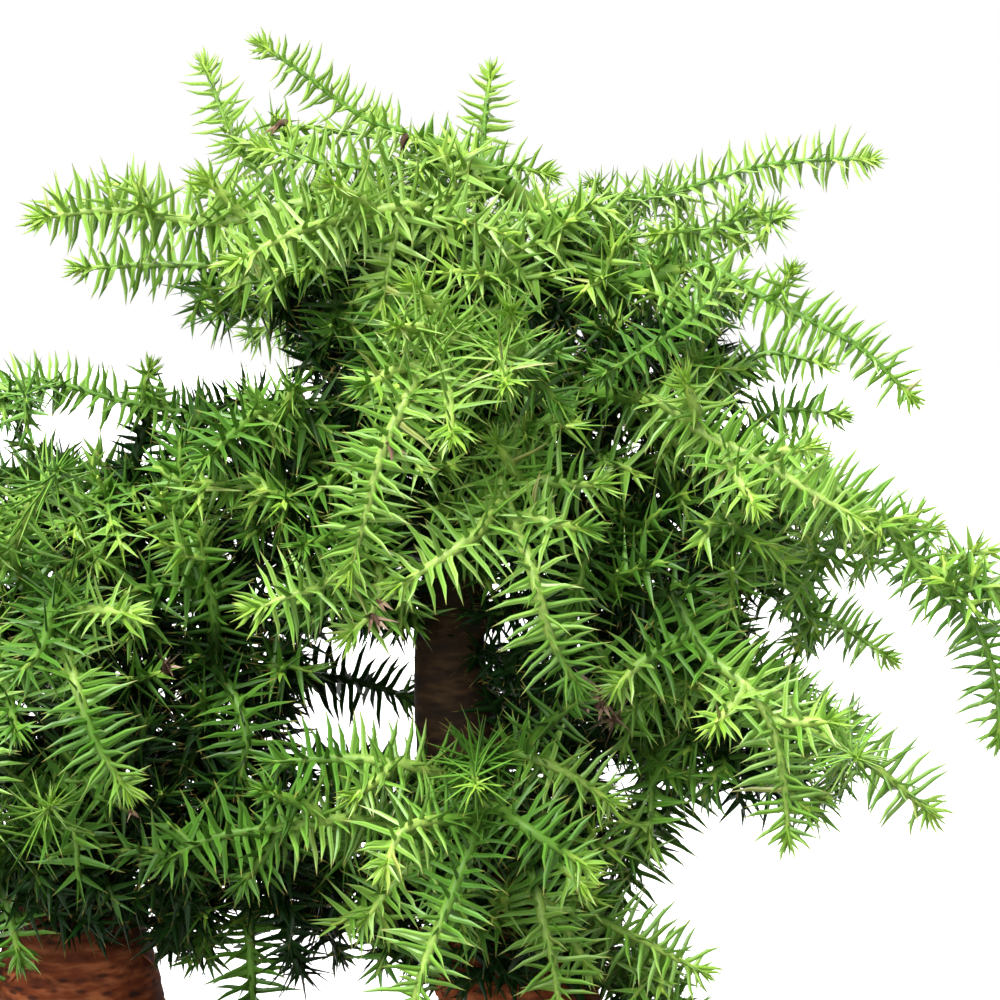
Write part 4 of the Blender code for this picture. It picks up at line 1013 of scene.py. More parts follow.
def leafy_tree():
    """Geometry nodes that clothe stems, given as lines, with needles set round them by the golden angle."""
    tree, given = new_growth_tree("leafy shoots", {
        "Stems": "Geometry", "Needle": "Object", "Spacing": "Float", "Lean": "Float", "Tip Lean": "Float",
        "Tip Zone": "Float", "Turn": "Float", "Bare Foot": "Float", "Seed": "Int", "Sides": "Int",
        "Leaf": "Material", "Stem": "Material",
    }, "Shoots")
    curves = add_node(tree, "GeometryNodeMeshToCurve", {"Mesh": given["Stems"]})
    along = add_node(tree, "GeometryNodeSplineParameter", out="Length")
    whole = add_node(tree, "GeometryNodeSplineLength", out="Length")
    ahead = add_node(tree, "ShaderNodeMath", {0: whole, 1: along}, operation="SUBTRACT")
    kept = add_node(tree, "GeometryNodeCaptureAttribute", domain="POINT").node
    kept.capture_items.new("FLOAT", "from foot")
    kept.capture_items.new("FLOAT", "from tip")
    for index, value in enumerate((curves, along, ahead)):
        tree.links.new(value, kept.inputs[index])
    line, from_foot, from_tip = kept.outputs[:3]
    read = {}
    for name in ("thick", "size", "age", "stem"):
        read[name] = add_node(tree, "GeometryNodeInputNamedAttribute", {"Name": name}, data_type="FLOAT")
    drawn = []
    for low, high in ((-TURN_STRAY, TURN_STRAY), (-LEAN_STRAY, LEAN_STRAY), NEEDLE_SIZES, (0.0, 1.0)):
        seed = add_node(tree, "ShaderNodeMath", {0: given["Seed"], 1: len(drawn) + 1}, operation="ADD")
        drawn.append(add_node(tree, "FunctionNodeRandomValue", {2: low, 3: high, "Seed": seed}, 1))

    points = add_node(tree, "GeometryNodeCurveToPoints", {"Curve": line, "Length": given["Spacing"]},
                      mode="LENGTH").node.outputs
    near_tip = add_node(tree, "ShaderNodeMapRange", {0: from_tip, 2: given["Tip Zone"], 3: 1.0, 4: 0.0},
                        interpolation_type="SMOOTHSTEP")
    index = add_node(tree, "GeometryNodeInputIndex")
    turn = add_node(tree, "ShaderNodeMath", {0: index, 1: given["Turn"]}, operation="MULTIPLY")
    turn = add_node(tree, "ShaderNodeMath", {0: turn, 1: drawn[0]}, operation="ADD")
    lean = add_node(tree, "ShaderNodeMix", {0: near_tip, 2: given["Lean"], 3: given["Tip Lean"]})
    lean = add_node(tree, "ShaderNodeMath", {0: lean, 1: drawn[1]}, operation="ADD")
    facing = points["Rotation"]
    for axis, angle in (((0, 0, 1), turn), ((0, 1, 0), lean)):
        turned = add_node(tree, "FunctionNodeAxisAngleToRotation", {"Axis": axis, "Angle": angle})
        facing = add_node(tree, "FunctionNodeRotateRotation", {"Rotation": facing, "Rotate By": turned},
                          rotation_space="LOCAL")
    size = add_node(tree, "ShaderNodeMapRange", {0: from_tip, 2: given["Tip Zone"], 3: LAST_NEEDLE, 4: 1.0})
    for share in (drawn[2], read["size"]):
        size = add_node(tree, "ShaderNodeMath", {0: size, 1: share}, operation="MULTIPLY")
    breadth = add_node(tree, "ShaderNodeMath", {0: size, 1: BREADTH_POWER}, operation="POWER")
    scale = add_node(tree, "ShaderNodeCombineXYZ", {0: breadth, 1: breadth, 2: size})
    needle = add_node(tree, "GeometryNodeObjectInfo", {"Object": given["Needle"]}, "Geometry")
    clothed = add_node(tree, "FunctionNodeCompare", {0: from_foot, 1: given["Bare Foot"]},
                       operation="GREATER_THAN")
    needles = add_node(tree, "GeometryNodeInstanceOnPoints",
                       {"Points": points["Points"], "Selection": clothed, "Instance": needle,
                        "Rotation": facing, "Scale": scale})
    for name, value in (("tint", drawn[3]), ("new", near_tip), ("age", read["age"])):
        needles = add_node(tree, "GeometryNodeStoreNamedAttribute",
                           {"Geometry": needles, "Name": name, "Value": value}, domain="INSTANCE")

    stems = add_node(tree, "GeometryNodeStoreNamedAttribute",
                     {"Geometry": line, "Name": "new", "Value": near_tip}, domain="POINT")
    outline = add_node(tree, "GeometryNodeCurvePrimitiveCircle",
                       {"Resolution": given["Sides"], "Radius": 1.0})
    stems = add_node(tree, "GeometryNodeCurveToMesh",
                     {"Curve": stems, "Profile Curve": outline, "Scale": read["thick"], "Fill Caps": True})
    stems = add_node(tree, "GeometryNodeStoreNamedAttribute",
                     {"Geometry": stems, "Name": "stem", "Value": 1.0}, domain="POINT")
    both = add_node(tree, "GeometryNodeJoinGeometry")
    for part in (stems, needles):
        tree.links.new(part, both.node.inputs[0])
    real = add_node(tree, "GeometryNodeRealizeInstances", {"Geometry": both})
    is_stem = add_node(tree, "FunctionNodeCompare", {0: read["stem"], 1: 0.5}, operation="GREATER_THAN")
    real = add_node(tree, "GeometryNodeSetMaterial", {"Geometry": real, "Material": given["Leaf"]})
    real = add_node(tree, "GeometryNodeSetMaterial",
                    {"Geometry": real, "Selection": is_stem, "Material": given["Stem"]})
    add_node(tree, "NodeGroupOutput", {0: real})
    return tree


def limb_radius(limb, share):
    """A limb's radius in millimetres, from its foot to its end, which is rounded off."""
    rounded = 1.0 - (1.0 - LIMB_TIP) * max(0.0, share - LIMB_ROUND_FROM) / (1.0 - LIMB_ROUND_FROM)
    slim = SLIM_LIMBS.get(limb, 1.0)
    return (LIMB_BASE_RADIUS + (LIMB_END_RADIUS - LIMB_BASE_RADIUS) * share**LIMB_TAPER) * slim * rounded


def limb_sleeves(limbs):
    """The outer part of each limb and the trunks' tops, as needled stems a hair wider than their wood."""
    sleeves = []
    reach = LIMB_LAST_SHARE - SLEEVE_FROM
    shares = [SLEEVE_FROM + reach * step / SLEEVE_STEPS for step in range(SLEEVE_STEPS + 1)]
    for limb, path in limbs.items():
        line = Path([path.at(path.length * share) for share in shares])
        girth = [limb_radius(limb, share) for share in shares]
        sleeves.append(Shoot(limb, line, "sleeve", SLEEVE_SIZE, girth))
    for trunk, (limb, start) in TREE_TOPS.items():
        rows = [row for row in fine_line(TRUNKS[trunk]) if row[2] > start]
        line = Path([Vector(row[:3]) * MM for row in rows])
        sleeves.append(Shoot(limb, line, "sleeve", SLEEVE_SIZE, (rows[0][3], rows[-1][3])))
    return sleeves


def tip_stars(shoots):
    """The last few millimetres of each shoot again, for the crowded short needles round its bud."""
    stars = []
    for shoot in shoots:
        foot = shoot.path.length - (STAR_LENGTH - STAR_PAST) * MM
        along = shoot.path.tangent(foot)
        start = shoot.path.at(foot)
        line = Path([start + along * STAR_LENGTH * MM * step / 4 for step in range(5)])
        stars.append(Shoot(shoot.limb, line, "star", shoot.size))
    return stars


def dry_twigs(growth):
    """Short dead twigs, each from the green stem nearest to its place."""
    owners = [shoot for shoot in growth for _ in shoot.path.points]
    points = np.concatenate([shoot.path.points for shoot in growth])
    twigs = []
    for place, length in DRY_TWIGS:
        end = seen(*place)
        nearest = int(np.linalg.norm(points - np.array(end), axis=1).argmin())
        start = Vector(points[nearest].tolist())
        end = start + (end - start).normalized() * length * MM
        path = Path(smooth_path([start, start.lerp(end, 0.5) + UP * MM, end], 4))
        twigs.append(Shoot(owners[nearest].limb, path, "dry"))
    return twigs


def lamp_way(azimuth, rise):
    """The way to a lamp that stands this far round from the front and this far up, in degrees."""
    side, up = math.radians(azimuth), math.radians(rise)
    return math.sin(side) * math.cos(up), -math.cos(side) * math.cos(up), math.sin(up)


def shade_growth(growth):
    """Counts the growth toward the key lamp above each stem and round it: painted shade that makes its leaves
    dark and old.
    """
    ways = [lamp_way(*LAMPS[0][1:3])]
    ways += [(math.cos(math.radians(turn)), math.sin(math.radians(turn)), 0.0) for turn in range(30, 390, 60)]
    ways = np.array(ways)
    spots = []
    for shoot in growth:
        count = SHADE_PLACES[shoot.kind]
        shoot.shade = []
        gap = shoot.path.length / max(1, count - 1)
        spots += [(shoot, shoot.path.at(gap * step)) for step in range(count)]
    places = np.array([tuple(place) for _, place in spots]) / MM
    for (shoot, _), place in zip(spots, places):
        away = places - place
        along = away @ ways.T
        aside = (away**2).sum(axis=1)[:, None] - along**2
        near = ((along > SHADE_FROM) & (aside < SHADE_WIDTH**2)).sum(axis=0)
        shade = near[0] / SHADE_OVER + near[1:].min() / SHADE_AROUND
        if in_any(place * MM, BRIGHT_PLACES):
            shade *= BRIGHT_SHARE
        elif in_any(place * MM, DIM_PLACES):
            shade += DIM_BY
        shoot.shade.append(shade)


def stem_radius(shoot, share):
    """A green stem's radius in millimetres, from its foot to its tip."""
    if shoot.girth:
        return float(np.interp(share, np.linspace(0, 1, len(shoot.girth)), shoot.girth)) + SLEEVE_PROUD
    if shoot.kind == "star":
        return STEM_TIP_RADIUS
    base = STEM_RADIUS * shoot.size**2 if shoot.kind == "shoot" else TWIG_RADIUS * shoot.size
    return base + (STEM_TIP_RADIUS - base) * share**STEM_TAPER


def stem_lines(name, shoots):
    """Lines that the leafy tree clothes, with each point's stem radius, needle size, and how old its leaves
    are with painted shade added.
    """
    corners, edges, thick, size, age = [], [], [], [], []
    for shoot in shoots:
        step, needle_size, least_age_and_shade, most_age_and_shade = GROWTH[shoot.kind]
        count = max(4, round(shoot.path.length / (step * MM)))
        for index in range(count + 1):
            share = index / count
            if index:
                edges.append((len(corners) - 1, len(corners)))
            corners.append(shoot.path.at(shoot.path.length * share) + POT_PLACE)
            thick.append(stem_radius(shoot, share) * MM)
            size.append(needle_size * shoot.size)
            # A point's age: painted shade counted over the stem, plus a twig's own random offset.
            shade = float(np.interp(share, np.linspace(0, 1, len(shoot.shade)), shoot.shade)) + shoot.age
            age.append(least_age_and_shade + (most_age_and_shade - least_age_and_shade) * min(1.0, max(0.0, shade)))
    mesh = bpy.data.meshes.new(name)
    mesh.from_pydata([tuple(corner) for corner in corners], edges, [])
    for title, values in (("thick", thick), ("size", size), ("age", age)):
        point_values(mesh, title, values)
    return mesh


def build_foliage(shoots, nodes, leaf, stem, dead):
    """The leafy growth of each limb, as one piece that stands for that limb's spray nodes."""
    tree = leafy_tree()
    needles = {shape: needle_object(shape) for shape in NEEDLE_ROWS}
    for order, (limb, names) in enumerate(nodes.items()):
        parts = []
        for kind, (shape, spacing, zone, bare, sides) in CLOTHING.items():
            own = [shoot for shoot in shoots if shoot.limb == limb and shoot.kind == kind]
            if not own:
                continue
            values = {"Needle": needles[shape], "Spacing": spacing * MM, "Tip Zone": zone * MM,
                      "Bare Foot": bare * MM, "Sides": sides, "Turn": GOLDEN_ANGLE, "Lean": NEEDLE_LEAN,
                      "Tip Lean": TIP_LEAN, "Seed": SEEDS_PER_LIMB * order + len(parts),
                      "Leaf": dead if kind == "dry" else leaf, "Stem": dead if kind == "dry" else stem}
            host = stem_lines(f"stems of {limb}", own)
            parts.append(grown(f"part_{len(parts)}_of_{limb}", host, tree, values))
        piece = joined("foliage_" + limb, parts)
        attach(piece, "root")
        if names:
            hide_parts(*names)
    for helper in needles.values():
        bpy.data.objects.remove(helper)


def joined(name, parts):
    """Several plain mesh objects as one, with their materials kept."""
    bpy.ops.object.select_all(action="DESELECT")
    for part in parts:
        part.select_set(True)
    bpy.context.view_layer.objects.active = parts[0]
    if len(parts) > 1:
        bpy.ops.object.join()
    parts[0].name = name
    parts[0].data.name = name
    return parts[0]


def loft(sections):
    """A closed skin over outlines with equal point counts, from the first to the last, capped."""
    bm = bmesh.new()
    rings = [[bm.verts.new(point) for point in section] for section in sections]
    for low, high in zip(rings, rings[1:]):
        for index, vert in enumerate(low):
            following = (index + 1) % len(low)
            bm.faces.new((vert, low[following], high[following], high[index]))
    bm.faces.new(reversed(rings[0]))
    bm.faces.new(rings[-1])
    bmesh.ops.recalc_face_normals(bm, faces=bm.faces)
    return bm


def fine_line(line):
    """A trunk's rows of across, depth, height and radius, made close together and smooth."""
    rows = smooth_path([Vector(row) for row in line], TRUNK_STEPS)
    return [tuple(row) for row in rows]


def trunk_ring(across, depth, height, radius):
    """One slice of a trunk, with root lobes that fade out above the soil."""
    fade = max(0.0, 1 - (height - ROOT_FOOT) / ROOT_FADE) ** 2
    ring = []
    for index in range(TRUNK_SIDES):
        angle = index / TRUNK_SIDES * 2 * math.pi
        lobes = 1 + fade * ROOT_SPREAD * math.cos(ROOT_LOBES * angle + across)
        reach = radius * lobes * (1 + ROOT_SWELL * fade)
        out = reach * Vector((math.cos(angle), math.sin(angle), 0))
        ring.append((Vector((across, depth, height)) + out) * MM + POT_PLACE)
    return ring


def tube_rings(limb, path):
    """Round sections square to a limb's path, thinner towards its end."""
    rings = []
    side = path.tangent(0).orthogonal()
    for step in range(LIMB_RINGS + 1):
        share = step / LIMB_RINGS
        mark = path.length * share
        along = path.tangent(mark)
        side = (side - along * side.dot(along)).normalized()
        radius = limb_radius(limb, share) * MM
        over = along.cross(side)
        ring = []
        for index in range(LIMB_SIDES):
            angle = index / LIMB_SIDES * 2 * math.pi
            out = side * math.cos(angle) + over * math.sin(angle)
            ring.append(path.at(mark) + POT_PLACE + out * radius)
        rings.append(ring)
    return rings


def build_tree(name, node, own, leaders, limbs, bark):
    """One tree's wood: trunk, leaders and limbs run together, then the bark raised on it."""
    bm = bmesh.new()
    middles = []
    for line in (own, *leaders):
        rows = fine_line(TRUNKS[line])
        part = loft([trunk_ring(*row) for row in rows])
        middles += [(Vector(row[:3]) * MM + POT_PLACE, row[3]) for row in rows]
        append_to(bm, part)
    for limb, path in limbs.items():
        if LIMBS[limb][0] in (own, *leaders):
            append_to(bm, loft(tube_rings(limb, path)))
            for step in range(LIMB_RINGS + 1):
                share = step / LIMB_RINGS
                middles.append((path.at(path.length * share) + POT_PLACE, limb_radius(limb, share)))
    tree = new_object(name, mesh_of(name, bm))
    melt = tree.modifiers.new("melt", "REMESH")
    melt.mode = "VOXEL"
    melt.voxel_size = BARK_VOXEL * MM
    ease = tree.modifiers.new("ease", "SMOOTH")
    ease.factor, ease.iterations = BARK_EASE
    apply_modifiers(tree)
    raise_bark(tree.data, middles)
    flakes = bark_flakes(tree.data, TRUNKS[own], bark)
    tree.data.name = name
    coat(tree.data, bark)
    tree.data.shade_smooth()
    joined(name, [tree, flakes])
    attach(tree, "root")
    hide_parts(node)


def append_to(bm, part):
    """Adds one bmesh to another and frees it."""
    mesh = mesh_of("part", part)
    bm.from_mesh(mesh)
    bpy.data.meshes.remove(mesh)


def raise_bark(mesh, middles):
    """Lifts the bark in broken hoops, deepest on the thickest wood, and keeps the relief for the colour."""
    tree = kdtree.KDTree(len(middles))
    for index, (place, _) in enumerate(middles):
        tree.insert(place, index)
    tree.balance()
    count = len(mesh.vertices)
    normals = np.zeros(count * 3, np.float32)
    mesh.vertex_normals.foreach_get("vector", normals)
    normals = normals.reshape(-1, 3)
    places = np.zeros(count * 3, np.float32)
    mesh.vertices.foreach_get("co", places)
    places = places.reshape(-1, 3)
    relief = np.zeros(count)
    girth = np.zeros(count)
    for index in range(count):
        place = Vector([float(value) for value in places[index]])
        _, found, _ = tree.find(place)
        girth[index] = middles[found][1]
        spot = place / MM
        level = spot.z + noise.noise(spot / DRIFT_SIZE) * DRIFT_REACH
        (wide, tall), (broad, high) = HOOP_SIZE, PLATE_SIZE
        hoops = max(HOOP_LOWEST, noise.noise(Vector((spot.x / wide, spot.y / wide, level / tall))))
        plates = abs(noise.noise(Vector((spot.x / broad, spot.y / broad, level / high)) + PLATE_SHIFT))
        layers = (hoops, plates, noise.noise(spot / GRAIN_SIZE))
        relief[index] = sum(share * layer for share, layer in zip(RELIEF_SHARES, layers))
    depth = np.clip(girth * BARK_DEPTH, *BARK_DEPTHS) * MM
    mesh.vertices.foreach_set("co", (places + normals * (depth * relief)[:, None]).ravel())
    point_values(mesh, "relief", relief)


def bark_flakes(mesh, line, bark):
    """Thin lens-shaped flakes of bark, each held along its upper edge and lifted at the lower one."""
    wood = BVHTree.FromPolygons([vert.co.copy() for vert in mesh.vertices],
                                [tuple(face.vertices) for face in mesh.polygons])
    dice = random.Random(FLAKE_SEED)
    rows = np.array(line, float)
    bm = bmesh.new()
    for _ in range(FLAKE_COUNT):
        height = dice.uniform(*FLAKE_HEIGHTS)
        turn = dice.uniform(0, 2 * math.pi)
        length, width = dice.uniform(*FLAKE_LENGTHS), dice.uniform(*FLAKE_WIDTHS)
        lean = dice.uniform(-FLAKE_LEAN, FLAKE_LEAN)
        lift = dice.uniform(*FLAKE_LIFT_SHARES) * FLAKE_LIFT
        across, depth, radius = (float(np.interp(height, rows[:, 2], rows[:, i])) for i in (0, 1, 3))
        middle = Vector((across, depth, height)) * MM + POT_PLACE
        out = Vector((math.cos(turn), math.sin(turn), 0))
        spot, normal, _, reach = wood.ray_cast(middle + out * 3 * radius * MM, -out)
        if spot is None or reach < radius * MM:
            continue
        level = (UP.cross(normal).normalized() + UP * lean).normalized()
        rise = normal.cross(level).normalized()
        layers = []
        for under in (0.0, FLAKE_THICK):
            ring = []
            for corner in range(FLAKE_CORNERS):
                angle = corner / FLAKE_CORNERS * 2 * math.pi
                along = math.cos(angle) * length / 2
                over = math.sin(angle) * abs(math.sin(angle)) ** FLAKE_POINTED
                proud = lift * max(0.0, -over) - FLAKE_HELD * max(0.0, over) + FLAKE_THICK / 2 - under
                proud -= along**2 / (2 * radius)
                place = level * along + rise * over * width / 2 + normal * proud
                ring.append(bm.verts.new(spot + place * MM))
            proud = FLAKE_MIDDLE * lift + FLAKE_THICK / 2 - under
            layers.append((ring, bm.verts.new(spot + normal * proud * MM)))
        (top, top_middle), (low, low_middle) = layers
        for index in range(FLAKE_CORNERS):
            after = (index + 1) % FLAKE_CORNERS
            bm.faces.new((top[index], top[after], top_middle))
            bm.faces.new((low[after], low[index], low_middle))
            bm.faces.new((top[after], top[index], low[index], low[after]))
    bmesh.ops.recalc_face_normals(bm, faces=bm.faces)
    flakes = mesh_of("flakes", bm)
    coat(flakes, bark)
    point_values(flakes, "relief", [FLAKE_RELIEF] * len(flakes.vertices))
    point_values(flakes, "flake", [1.0] * len(flakes.vertices))
    return new_object("flakes", flakes)


def rounded_outline(length, width, corner, steps):
    """Points of a rounded rectangle, anticlockwise, with the same count whatever its size."""
    points = []
    for quarter in range(4):
        turn = quarter * math.pi / 2
        side_x = 1 if quarter in (0, 3) else -1
        side_y = 1 if quarter in (0, 1) else -1
        middle = Vector((side_x * (length / 2 - corner), side_y * (width / 2 - corner)))
        for step in range(steps + 1):
            angle = turn + step / steps * math.pi / 2
            points.append(middle + corner * Vector((math.cos(angle), math.sin(angle))))
    return points


def pot_ring(grow, height):
    """The pot's outline at a height, grown or shrunk by some millimetres all round."""
    outline = rounded_outline(POT_LENGTH + 2 * grow, POT_WIDTH + 2 * grow, POT_CORNER + grow, CORNER_STEPS)
    return [Vector((point.x, point.y, height)) * MM + POT_PLACE for point in outline]


def wall_inset(height):
    """How far the outer wall stands inside the rim's outline at a height."""
    return LIP_PROUD + POT_TAPER * (1 - (height - FOOT_HEIGHT) / (POT_HEIGHT - FOOT_HEIGHT)) ** WALL_CURVE


def pot_profile():
    """The pot's wall from its base, up the outside, over the lip and down the inside: grow and height."""
    lip_low = POT_HEIGHT - LIP_HEIGHT
    base = -wall_inset(FOOT_HEIGHT)
    rows = [(base + grow, FOOT_HEIGHT + up) for grow, up in BASE_ROWS]
    outside = np.linspace(FOOT_HEIGHT + WALL_MARGINS[0], lip_low - WALL_MARGINS[1], WALL_RINGS).tolist()
    rows += [(-wall_inset(height), height) for height in outside]
    rows.append((-wall_inset(lip_low) + UNDER_LIP[0], lip_low - UNDER_LIP[1]))
    rows += [(grow, lip_low + up) for grow, up in LIP_ROWS]
    rows += [(grow, POT_HEIGHT - down) for grow, down in RIM_ROWS]
    top = -wall_inset(POT_HEIGHT) - POT_WALL
    rows += [(top + grow, POT_HEIGHT - down) for grow, down in INNER_ROWS]
    inside = (POT_HEIGHT - INNER_DOWN, *(FLOOR_TOP + rise for rise in FLOOR_BENDS))
    rows += [(-wall_inset(height) - POT_WALL, height) for height in inside]
    rows.append((-wall_inset(FLOOR_TOP) - POT_WALL - FLOOR_IN, FLOOR_TOP))
    return rows


def build_pot(stoneware):
    """The pot with its softened lip, four feet and drain holes, in finer steps than the solid."""
    bm = bmesh.new()
    append_to(bm, loft([pot_ring(grow, height) for grow, height in pot_profile()]))
    pot = new_object("stoneware_pot", mesh_of("pot_piece", bm))
    tools = bpy.data.collections.new("pot tools")
    foot_x = POT_LENGTH / 2 - wall_inset(FOOT_HEIGHT) - FOOT_IN[0]
    foot_y = POT_WIDTH / 2 - wall_inset(FOOT_HEIGHT) - FOOT_IN[1]
    for side_x in (-1, 1):
        for side_y in (-1, 1):
            outline = rounded_outline(FOOT_LENGTH, FOOT_WIDTH, FOOT_CORNER, CORNER_STEPS)
            rings = []
            for shrink, height in FOOT_ROWS:
                share_x = 1 - 2 * shrink / FOOT_LENGTH
                share_y = 1 - 2 * shrink / FOOT_WIDTH
                rings.append([Vector((side_x * foot_x + p.x * share_x, side_y * foot_y + p.y * share_y,
                                      height)) * MM + POT_PLACE for p in outline])
            tools.objects.link(bpy.data.objects.new("foot", mesh_of("foot", loft(rings))))
    boolean(pot, tools, "UNION")
    tools = bpy.data.collections.new("drain tools")
    for side in (-1, 1):
        bm = bmesh.new()
        place = Vector((side * DRAIN_ACROSS, 0, FLOOR_TOP)) * MM + POT_PLACE
        bmesh.ops.create_cone(bm, cap_ends=True, segments=DRAIN_SIDES, radius1=DRAIN_RADIUS * MM,
                              radius2=DRAIN_RADIUS * MM, depth=DRAIN_CUT * MM,
                              matrix=Matrix.Translation(place))
        tools.objects.link(bpy.data.objects.new("drain", mesh_of("drain", bm)))
    boolean(pot, tools, "DIFFERENCE")
    coat(pot.data, stoneware)
    pot.data.shade_smooth()
    pot.data.set_sharp_from_angle(angle=SHARP_ANGLE)
    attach(pot, "root")
    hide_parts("pot")


def boolean(obj, tools, operation):
    """Joins the tools to an object, or cuts them from it, and removes them."""
    bpy.context.scene.collection.children.link(tools)
    step = obj.modifiers.new(operation.lower(), "BOOLEAN")
    step.operation = operation
    step.operand_type = "COLLECTION"
    step.collection = tools
    step.solver = "EXACT"
    apply_modifiers(obj)
    for other in list(tools.objects):
        bpy.data.objects.remove(other)
    bpy.data.collections.remove(tools)


def grain_object():
    """One lump of grit: an icosahedron with its corners pushed about by a seeded draw."""
    dice = random.Random(GRAIN_SEED)
    bm = bmesh.new()
    bmesh.ops.create_icosphere(bm, subdivisions=1, radius=MM)
    for vert in bm.verts:
        vert.co = vert.co * dice.uniform(*GRIT_CORNERS)
    return bpy.data.objects.new("grain", mesh_of("grain", bm))


def grit_tree():
    """Geometry nodes that strew grains over a surface, apart from each other, turned and sized at random."""
    tree, given = new_growth_tree("strewn grit", {
        "Ground": "Geometry", "Grain": "Object", "Apart": "Float", "Density": "Float", "Small": "Float",
        "Large": "Float", "Seed": "Int", "Finish": "Material",
    }, "Grit")
    points = add_node(tree, "GeometryNodeDistributePointsOnFaces",
                      {"Mesh": given["Ground"], "Distance Min": given["Apart"],
                       "Density Max": given["Density"], "Seed": given["Seed"]},
                      "Points", distribute_method="POISSON")
    grain = add_node(tree, "GeometryNodeObjectInfo", {"Object": given["Grain"]}, "Geometry")
    turn = add_node(tree, "FunctionNodeRandomValue",
                    {0: (0, 0, 0), 1: (GRIT_TURN,) * 3, "Seed": given["Seed"]}, data_type="FLOAT_VECTOR")
    size = add_node(tree, "FunctionNodeRandomValue",
                    {2: given["Small"], 3: given["Large"], "Seed": given["Seed"]}, 1)
    grains = add_node(tree, "GeometryNodeInstanceOnPoints",
                      {"Points": points, "Instance": grain, "Rotation": turn, "Scale": size})
    tint = add_node(tree, "FunctionNodeRandomValue", {2: 0.0, 3: 1.0, "Seed": GRIT_TINT_SEED}, 1)
    kept = add_node(tree, "GeometryNodeStoreNamedAttribute",
                    {"Geometry": grains, "Name": "tint", "Value": tint}, domain="INSTANCE")
    real = add_node(tree, "GeometryNodeRealizeInstances", {"Geometry": kept})
    real = add_node(tree, "GeometryNodeSetMaterial", {"Geometry": real, "Material": given["Finish"]})
    add_node(tree, "NodeGroupOutput", {0: real})
    return tree


def ground_mesh():
    """The upward faces of the soil's solid, as the surface that grit lies on."""
    source = frame["nodes"]["soil"].data
    bm = bmesh.new()
    bm.from_mesh(source)
    bmesh.ops.remove_doubles(bm, verts=bm.verts, dist=0.01 * MM)
    under = [face for face in bm.faces if face.normal.z < 0.5 or face.calc_center_median().z < SOIL_LOW * MM]
    bmesh.ops.delete(bm, geom=under, context="FACES")
    return mesh_of("ground", bm)


def build_grit(grit):
    """The loose grit on the soil, as one piece."""
    grain = grain_object()
    values = {"Grain": grain, "Apart": GRIT_APART * MM, "Density": GRIT_DENSITY, "Small": GRIT_SIZES[0],
              "Large": GRIT_SIZES[1], "Seed": GRIT_SEED, "Finish": grit}
    piece = grown("soil_grit", ground_mesh(), grit_tree(), values)
    bpy.data.objects.remove(grain)
    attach(piece, "root")


def new_material(name):
    """A material with an empty tree, and that tree."""
    made = bpy.data.materials.new(name)
    made.use_nodes = True
    made.node_tree.nodes.clear()
    return made, made.node_tree


def waves(size):
    """The scale at which a pattern has this size in millimetres."""
    return 1 / (size * MM)


def laid_over(tree, colour, *layers):
    """A colour with further colours laid over it in turn, each by its share."""
    for share, layer in layers:
        colour = add_node(tree, "ShaderNodeMix", {0: share, 6: colour, 7: layer}, 2, data_type="RGBA")
    return colour


def by_age_and_shade(tree, young, grown_and_half_shaded, old):
    """A colour by age: new, then full grown and half in painted shade, then old in full painted shade."""
    age = add_node(tree, "ShaderNodeAttribute", out="Fac", attribute_name="age")
    toward_half_shade = add_node(tree, "ShaderNodeMapRange", {0: age, 2: HALF_SHADE_AGE})
    toward_full_shade = add_node(tree, "ShaderNodeMapRange", {0: age, 1: HALF_SHADE_AGE})
    return laid_over(tree, young, (toward_half_shade, grown_and_half_shaded), (toward_full_shade, old))


